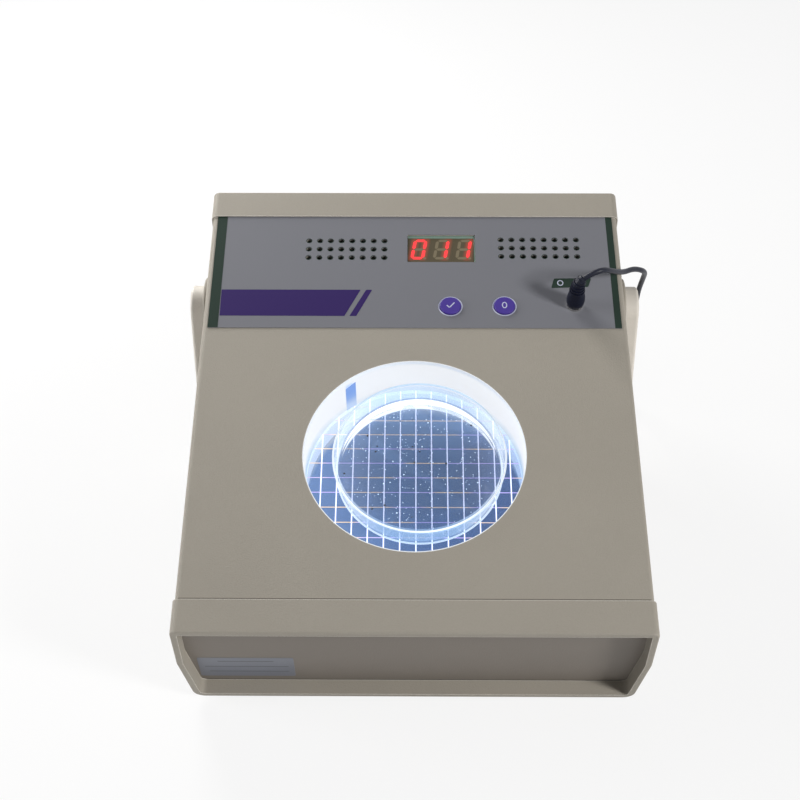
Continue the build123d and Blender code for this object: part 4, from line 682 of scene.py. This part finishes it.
def coil_points():
    """Control points of the coil in the row frame: round its middle at an even angle per point, at the place
    of its turn, which moves over to the next place within a short stretch; the last turn moves first."""
    end = np.array(LEAD[-1])
    middle = np.array([end[0], end[1] + COIL_MIDDLE_R + 2 * CORD_R, 0.0])
    count = COIL_TURNS * POINTS_PER_TURN
    step = np.arange(1, count)
    turn = step // POINTS_PER_TURN
    passed = (step % POINTS_PER_TURN) / POINTS_PER_TURN
    start = (MOVE_FIRST + MOVE_LATER * (COIL_TURNS - 1 - turn)) / 360
    moved = np.clip((passed - start) / (MOVE_SPAN / 360), 0, 1)
    moved = moved * moved * (3 - 2 * moved)
    places = np.array(COIL_PLACES, float)
    across = places[turn] * (1 - moved)[:, None] + places[turn + 1] * moved[:, None]
    cut = (3 + math.cos(2 * math.pi / POINTS_PER_TURN)) / 4
    radius = (COIL_MIDDLE_R + across[:, 0] * 2 * CORD_R) / cut
    angle = -math.pi / 2 - 2 * math.pi * step / POINTS_PER_TURN
    level = CORD_R * (1 + 2 * across[:, 1])
    return np.column_stack([middle[0] + radius * np.cos(angle), middle[1] + radius * np.sin(angle), level])


def pen_cord():
    """One smooth line from the boot of the plug over the case's edge to the coil and on to the pen."""
    points = np.vstack([LEAD, coil_points(), TAIL])
    curve = bpy.data.curves.new("pen_cord", "CURVE")
    curve.dimensions = "3D"
    curve.bevel_depth = CORD_R
    curve.bevel_resolution = 4
    curve.resolution_u = 6
    curve.use_fill_caps = True
    line = curve.splines.new("NURBS")
    line.points.add(len(points) - 1)
    line.points.foreach_set("co", np.column_stack([points, np.ones(len(points))]).ravel())
    line.order_u = 3
    line.use_endpoint_u = True
    curve.materials.append(FINISHES["cord_black"])
    cord = bpy.data.objects.new("pen_cord", curve)
    bpy.context.scene.collection.objects.link(cord)
    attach(cord, "case")
    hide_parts("probe_cord", "cord_coil", "cord_tail")
    return cord


# Prints on the panel

def print_patch(name, corners, ink, radius=0.4):
    """Thin film of ink over a four-cornered patch of the panel."""
    film = plate(corner_outline(corners, radius), OVERLAY_TOP, OVERLAY_TOP + PRINT_HEIGHT)
    return surface(name, placed(film), PRINT[ink], "case", loop_columns=True, smooth=False)


def hole_centres():
    """Centres of the small holes: rows and columns at an even pitch round the middle of each group."""
    columns = (np.arange(HOLE_COLUMNS) - (HOLE_COLUMNS - 1) / 2) * HOLE_PITCH
    rows = (np.arange(HOLE_ROWS) - (HOLE_ROWS - 1) / 2) * HOLE_PITCH
    x, y = np.meshgrid(columns, rows)
    one = np.column_stack([x.ravel(), y.ravel()])
    return (np.array(HOLE_GROUPS)[:, None] + one[None]).reshape(-1, 2)


def panel_prints():
    """Bare title band and its stripe, jack label, end strips, button rings, rims of the small holes and the
    gauze under them."""
    print_patch("title_band", BAND, "purple")
    print_patch("title_stripe", STRIPE, "purple")
    print_patch("jack_label", JACK_LABEL, "green", 0.8)
    print_patch("left_strip", LEFT_STRIP, "green", 0.1)
    print_patch("right_strip", RIGHT_STRIP, "green", 0.1)
    rings = [ring_band(x, y, *BUTTON_RING, OVERLAY_TOP, OVERLAY_TOP + PRINT_HEIGHT) for x, y in BUTTONS]
    surface("button_rings", placed(rings), PRINT["pale"], "case", True, True, False)
    rims = [ring_band(x, y, HOLE_R, HOLE_RIM_R, OVERLAY_TOP, OVERLAY_TOP + PRINT_HEIGHT, 20)
            for x, y in hole_centres()]
    surface("hole_rims", placed(rims), PRINT["green"], "case", True, True, False)
    under = COVER_TOP - COVER_WALL - GAUZE_GAP
    gauze = [plate(corner_outline(np.array(GAUZE) + middle, 1.0), under - GAUZE_THICKNESS, under)
             for middle in HOLE_GROUPS]
    surface("hole_gauze", placed(gauze), PRINT["green"], "case", False, True, False)


def oval_band(x, y, wide, high, stroke, low, top, count=40):
    """Closed flat oval ring: cosine and sine of the angle times two half axes, less the stroke inside."""
    angle = np.linspace(0, 2 * np.pi, count, endpoint=False)
    rows = [(0.0, low), (stroke, low), (stroke, top), (0.0, top)]
    return np.stack([np.column_stack([x + (wide - inset) * np.cos(angle), y + (high - inset) * np.sin(angle),
                                      np.full(count, level)]) for inset, level in rows])


def ink_line(start, end, stroke, low, top):
    """Straight stroke of ink as the outline of a thin plate round the line from start to end."""
    start, end = np.asarray(start, float), np.asarray(end, float)
    along = (end - start) / np.linalg.norm(end - start)
    side = np.array([-along[1], along[0]]) * stroke / 2
    corners = np.array([start - side, end - side, end + side, start + side])
    return plate(corners, low, top)


def key_marks():
    """Plain marks: a tick on the calibrate key, a nought on the reset key and a socket sign on its label."""
    top = OVERLAY_TOP + BUTTON_PROUD
    calibrate, reset = np.array(BUTTONS)
    ends = calibrate + np.array(TICK)
    tick = [ink_line(start, end, TICK_STROKE, top, top + MARK_HEIGHT) for start, end in (ends[:2], ends[2:])]
    surface("tick_mark", placed(tick), PRINT["pale"], "calibrate_button", False, True, False)
    nought = oval_band(*reset, *NOUGHT, NOUGHT_STROKE, top, top + MARK_HEIGHT)
    surface("nought_mark", placed(nought), PRINT["pale"], "reset_button", True, True, False)
    level = OVERLAY_TOP + PRINT_HEIGHT
    sign = oval_band(*SOCKET_SIGN, *SOCKET_SIGN_AXES, SOCKET_SIGN_STROKE, level, level + MARK_HEIGHT)
    surface("socket_sign", placed(sign), PRINT["pale"], "case", True, True, False)


def display_edge():
    """Greenish edge of the display filter that shows along the rear and the right of the digits."""
    left, right = DISPLAY_X - DISPLAY_LEFT, DISPLAY_X + DISPLAY_RIGHT
    front, rear = DISPLAY_Y - DISPLAY_FRONT, DISPLAY_Y + DISPLAY_REAR
    level = OVERLAY_TOP - DIGIT_RECESS
    inner = rear - EDGE_REAR
    low = np.array([(left, inner, level + EDGE_LOW), (right - EDGE_RIGHT, front, level + EDGE_LOW)])
    high = np.array([(right, rear, level + EDGE_HIGH), (right, inner, level + EDGE_HIGH)])
    vertices, faces = bars(low, high)
    piece("display_edge", placed(vertices), faces, PRINT["filter_edge"], "case", smooth=False)


def label_rules():
    """Empty ruled rows on the rating label."""
    face = PANEL_FACE_Y - LABEL_THICKNESS
    low = np.array([(start, face - ROW_PROUD, z) for start, end, z in ROWS])
    high = np.array([(end, face + ROW_SINK, z + ROW_HEIGHT) for start, end, z in ROWS])
    vertices, faces = bars(low, high)
    piece("label_rules", placed(vertices), faces, PRINT["rule"], "case", smooth=False)


def outline_of_cover(rise):
    """Half-round walk over the cover's cross-section, from one kink over the top to the other, moved out by
    the given rise: straight sides and top with arcs at the two upper corners."""
    side_x, kink_x = TOP_HALF_WIDTH - COVER_STEP + rise, KINK_HALF_WIDTH - COVER_STEP + rise
    top = COVER_TOP + rise
    corner = COVER_CORNER_R + rise
    lean = math.atan2(kink_x - side_x, top - KINK_HEIGHT)
    angle = np.linspace(lean, math.pi / 2, 9)
    arc_x = side_x - corner + corner * np.cos(angle)
    arc_z = top - corner + corner * np.sin(angle)
    right = np.column_stack([np.concatenate([[kink_x], arc_x]), np.concatenate([[KINK_HEIGHT], arc_z])])
    left = right[::-1] * np.array([-1.0, 1.0])
    return np.vstack([right, left])


def cover_seam_shade():
    """Painted shade of the joint where the cover meets the front bezel: a thin dark band round the cover's
    cross-section, whose closed section of four corners is carried along that line."""
    under, over = outline_of_cover(-SEAM_DEPTH), outline_of_cover(SEAM_PROUD)
    rows = []
    for line, y in ((under, SEAM_FRONT), (over, SEAM_FRONT), (over, SEAM_REAR), (under, SEAM_REAR)):
        rows.append(np.column_stack([line[:, 0], np.full(len(line), y), line[:, 1]]))
    band = np.stack(rows)
    first, last = band[:, :1].mean(0, keepdims=True), band[:, -1:].mean(0, keepdims=True)
    band = np.concatenate([np.repeat(first, 4, 0), band, np.repeat(last, 4, 0)], 1)
    surface("cover_seam_shade", placed(band), PRINT["seam"], "case", loop_rows=True, smooth=False)


def panel_gap_shade():
    """Painted shade of the gap between the front panel and the bezel's lower ledge: a thin dark bar against the
    panel's face.
    """
    low = np.array([(-GAP_REACH, PANEL_FACE_Y - GAP_DEPTH, BEZEL_LIP)])
    high = np.array([(GAP_REACH, PANEL_FACE_Y, BEZEL_LIP + GAP_HEIGHT)])
    vertices, faces = bars(low, high)
    piece("panel_gap_shade", placed(vertices), faces, PRINT["gap"], "case", smooth=False)


def rating_label():
    """Bare silver label on the front panel: a rounded plate set against the panel's face."""
    film = plate(corner_outline(LABEL_CORNERS, LABEL_R), 0.0, LABEL_THICKNESS, LABEL_EDGE)
    upright = np.stack([film[..., 0], PANEL_FACE_Y - film[..., 2], film[..., 1]], -1)
    surface("rating_label", placed(upright), PRINT["label"], "case", False, True, False)


# Inside the well

def counting_grid():
    """Lines of the counting grid on the plate: bars at an even pitch, each as long as the chord there."""
    reach = WINDOW_R - GRID_MARGIN
    x = GRID_X0 + GRID_PITCH_X * np.arange(-1, 14)
    x = x[np.abs(x) < reach - LAST_LINE]
    half = np.sqrt(reach ** 2 - x ** 2)
    low = np.column_stack([x - GRID_WIDTH / 2, WELL_Y - half, np.full(len(x), PLATE_TOP)])
    high = np.column_stack([x + GRID_WIDTH / 2, WELL_Y + half, np.full(len(x), PLATE_TOP + GRID_HEIGHT)])
    vertices, faces = bars(low, high)
    piece("grid_lines_long", placed(vertices), faces, PRINT["grid"], "case", smooth=False)
    y = GRID_Y0 + GRID_PITCH_Y * np.arange(-2, 11)
    y = y[np.abs(y - WELL_Y) < reach - LAST_LINE]
    half = np.sqrt(reach ** 2 - (y - WELL_Y) ** 2)
    low = np.column_stack([-half, y - CROSS_WIDTH / 2, np.full(len(y), PLATE_TOP)])
    high = np.column_stack([half, y + CROSS_WIDTH / 2, np.full(len(y), PLATE_TOP + CROSS_HEIGHT)])
    vertices, faces = bars(low, high)
    piece("grid_lines_cross", placed(vertices), faces, PRINT["grid_cross"], "case", False)


def wall_joint_shade():
    """Painted shade at the joint of the lit wall: a thin piece of the wall's curve, closed all round."""
    turn = math.radians(JOINT_ANGLE) + np.linspace(-0.5, 0.5, 7) * JOINT_WIDTH / WINDOW_R
    top, foot = JOINT_TOP + np.linspace(JOINT_SLANT, -JOINT_SLANT, 7), np.full(7, PLATE_TOP + 0.1)
    inner = WINDOW_R - JOINT_THICKNESS
    rows = []
    for radius, z in ((WINDOW_R, foot), (WINDOW_R, top), (inner, top), (inner, foot)):
        rows.append(np.column_stack([WELL_X + radius * np.cos(turn), WELL_Y + radius * np.sin(turn), z]))
    band = np.stack(rows)
    first, last = band[:, :1].mean(0, keepdims=True), band[:, -1:].mean(0, keepdims=True)
    band = np.concatenate([np.repeat(first, 4, 0), band, np.repeat(last, 4, 0)], 1)
    surface("wall_joint_shade", placed(band), PRINT["joint"], "case", loop_rows=True, smooth=False)


def lit_edges():
    """Thin glowing rings, painted highlights where the wall's light is caught: the cut edge of the window, and the
    dish's rim and foot.
    """
    window = ring_band(WELL_X, WELL_Y, *WINDOW_EDGE, RING_STEPS)
    surface("window_edge_highlight", placed(window), PRINT["edge_light"], "case", True, True, False)
    rim = ring_band(DISH_X, DISH_Y, *RIM_EDGE, RING_STEPS)
    surface("dish_rim_highlight", placed(rim), PRINT["rim"], "dish", True, True, False)
    foot = ring_band(DISH_X, DISH_Y, *FOOT_EDGE, RING_STEPS)
    surface("dish_foot_highlight", placed(foot), PRINT["base"], "dish", True, True, False)


def colonies(name, ink, count, sizes, rng):
    """Low domes on the agar: radius times sine and height times cosine of the angle down from the top."""
    distance = (AGAR_R - COLONY_MARGIN) * np.sqrt(rng.uniform(0, 1, count))
    angle = rng.uniform(0, 2 * np.pi, count)
    radius = rng.uniform(*sizes, count)
    down = np.linspace(0, np.pi / 2, 4)
    round_ = np.linspace(0, 2 * np.pi, 10, endpoint=False)
    across = np.concatenate([np.sin(down), [0.0]])
    up = np.concatenate([np.cos(down) * DOME_RISE, [0.0]])
    size = radius[:, None, None]
    x = (DISH_X + distance * np.cos(angle))[:, None, None] + size * across[None, :, None] * np.cos(round_)
    y = (DISH_Y + distance * np.sin(angle))[:, None, None] + size * across[None, :, None] * np.sin(round_)
    z = np.broadcast_to(AGAR_TOP + size * up[None, :, None], x.shape)
    surface(name, placed(np.stack([x, y, z], -1)), PRINT[ink], "dish", loop_columns=True)


# Room, light and camera

def aimed(lamp, place, target):
    """Lamp at a place, pointing at a target."""
    lamp.location = place
    lamp.rotation_mode = "QUATERNION"
    lamp.rotation_quaternion = (Vector(target) - Vector(place)).to_track_quat("-Z", "Y")
    bpy.context.scene.collection.objects.link(lamp)


def soft_lamp(name, place, size, watts, color=(1, 1, 1)):
    """Square soft box that points at the counter."""
    light = bpy.data.lights.new(name, "AREA")
    light.shape, light.size, light.energy, light.color = "SQUARE", size, watts, color
    aimed(bpy.data.objects.new(name, light), place, (0, 0, 0.08))


def seen_white(tree):
    """1 for the camera, glossy and see-through rays, 0 for the light that falls on the object."""
    path = tree.nodes.new("ShaderNodeLightPath")
    seen = path.outputs["Is Camera Ray"]
    for ray in ("Is Glossy Ray", "Is Transmission Ray"):
        seen = math_node(tree, "MAXIMUM", seen, path.outputs[ray])
    return seen


def studio():
    """Pale floor that keeps the counter's shadow, white surroundings and three soft lamps."""
    floor_mesh = bpy.data.meshes.new("floor")
    corners = [(x * FLOOR_REACH, y * FLOOR_REACH, 0) for x, y in ((-1, -1), (1, -1), (1, 1), (-1, 1))]
    floor_mesh.from_pydata(corners, [], [(0, 1, 2, 3)])
    floor = bpy.data.objects.new("floor", floor_mesh)
    bpy.context.scene.collection.objects.link(floor)
    paint = bpy.data.materials.new("pale_floor")
    paint.use_nodes = True
    tree = paint.node_tree
    matt = tree.nodes["Principled BSDF"]
    matt.inputs["Base Color"].default_value = (0.85, 0.85, 0.85, 1)
    matt.inputs["Roughness"].default_value = 0.9
    white = tree.nodes.new("ShaderNodeEmission")
    white.inputs["Strength"].default_value = 1.0
    blend = tree.nodes.new("ShaderNodeMixShader")
    tree.links.new(math_node(tree, "MULTIPLY", seen_white(tree), FLOOR_WHITE), blend.inputs["Fac"])
    tree.links.new(matt.outputs["BSDF"], blend.inputs[1])
    tree.links.new(white.outputs["Emission"], blend.inputs[2])
    tree.links.new(blend.outputs["Shader"], tree.nodes["Material Output"].inputs["Surface"])
    floor_mesh.materials.append(paint)

    world = bpy.data.worlds.new("surroundings")
    bpy.context.scene.world = world
    world.use_nodes = True
    tree = world.node_tree
    room = tree.nodes["Background"]
    room.inputs["Color"].default_value = (0.93, 0.96, 1.0, 1)
    room.inputs["Strength"].default_value = ROOM_LIGHT
    sky = tree.nodes.new("ShaderNodeBackground")
    sky.inputs["Color"].default_value = (1, 1, 1, 1)
    blend = tree.nodes.new("ShaderNodeMixShader")
    tree.links.new(seen_white(tree), blend.inputs["Fac"])
    tree.links.new(room.outputs["Background"], blend.inputs[1])
    tree.links.new(sky.outputs["Background"], blend.inputs[2])
    tree.links.new(blend.outputs["Shader"], tree.nodes["World Output"].inputs["Surface"])

    soft_lamp("rear_box", (-0.38, 0.58, 0.5), 0.35, 5.4, (1.0, 0.99, 0.97))
    soft_lamp("right_box", (1.3, -0.95, 1.0), 0.35, 24.5, (1.0, 0.99, 0.98))
    soft_lamp("left_box", (-1.35, 0.0, 0.38), 0.5, 11.0, (0.98, 0.98, 1.0))


def camera():
    """Camera with its axes given: right, up and ahead."""
    lens = bpy.data.cameras.new("camera")
    lens.lens, lens.sensor_width = CAMERA_LENS, 36.0
    lens.clip_start, lens.clip_end = 0.02, 50.0
    eye = bpy.data.objects.new("camera", lens)
    turn = Matrix((CAMERA_RIGHT, CAMERA_UP, [-v for v in CAMERA_AHEAD])).transposed()
    eye.matrix_world = Matrix.Translation(CAMERA_PLACE) @ turn.to_4x4()
    bpy.context.scene.collection.objects.link(eye)
    bpy.context.scene.camera = eye


camera()
pen_cord()
panel_prints()
key_marks()
display_edge()
label_rules()
cover_seam_shade()
panel_gap_shade()
rating_label()
counting_grid()
wall_joint_shade()
lit_edges()
rng = np.random.default_rng(SEED)
colonies("pale_specks", "colony_pale", 260, (0.12, 0.24), rng)
colonies("pale_colonies", "colony_pale", 16, (0.30, 0.46), rng)
colonies("dark_colonies", "colony_dark", 15, (0.32, 0.66), rng)
studio()
bpy.context.scene.view_settings.view_transform = "Standard"
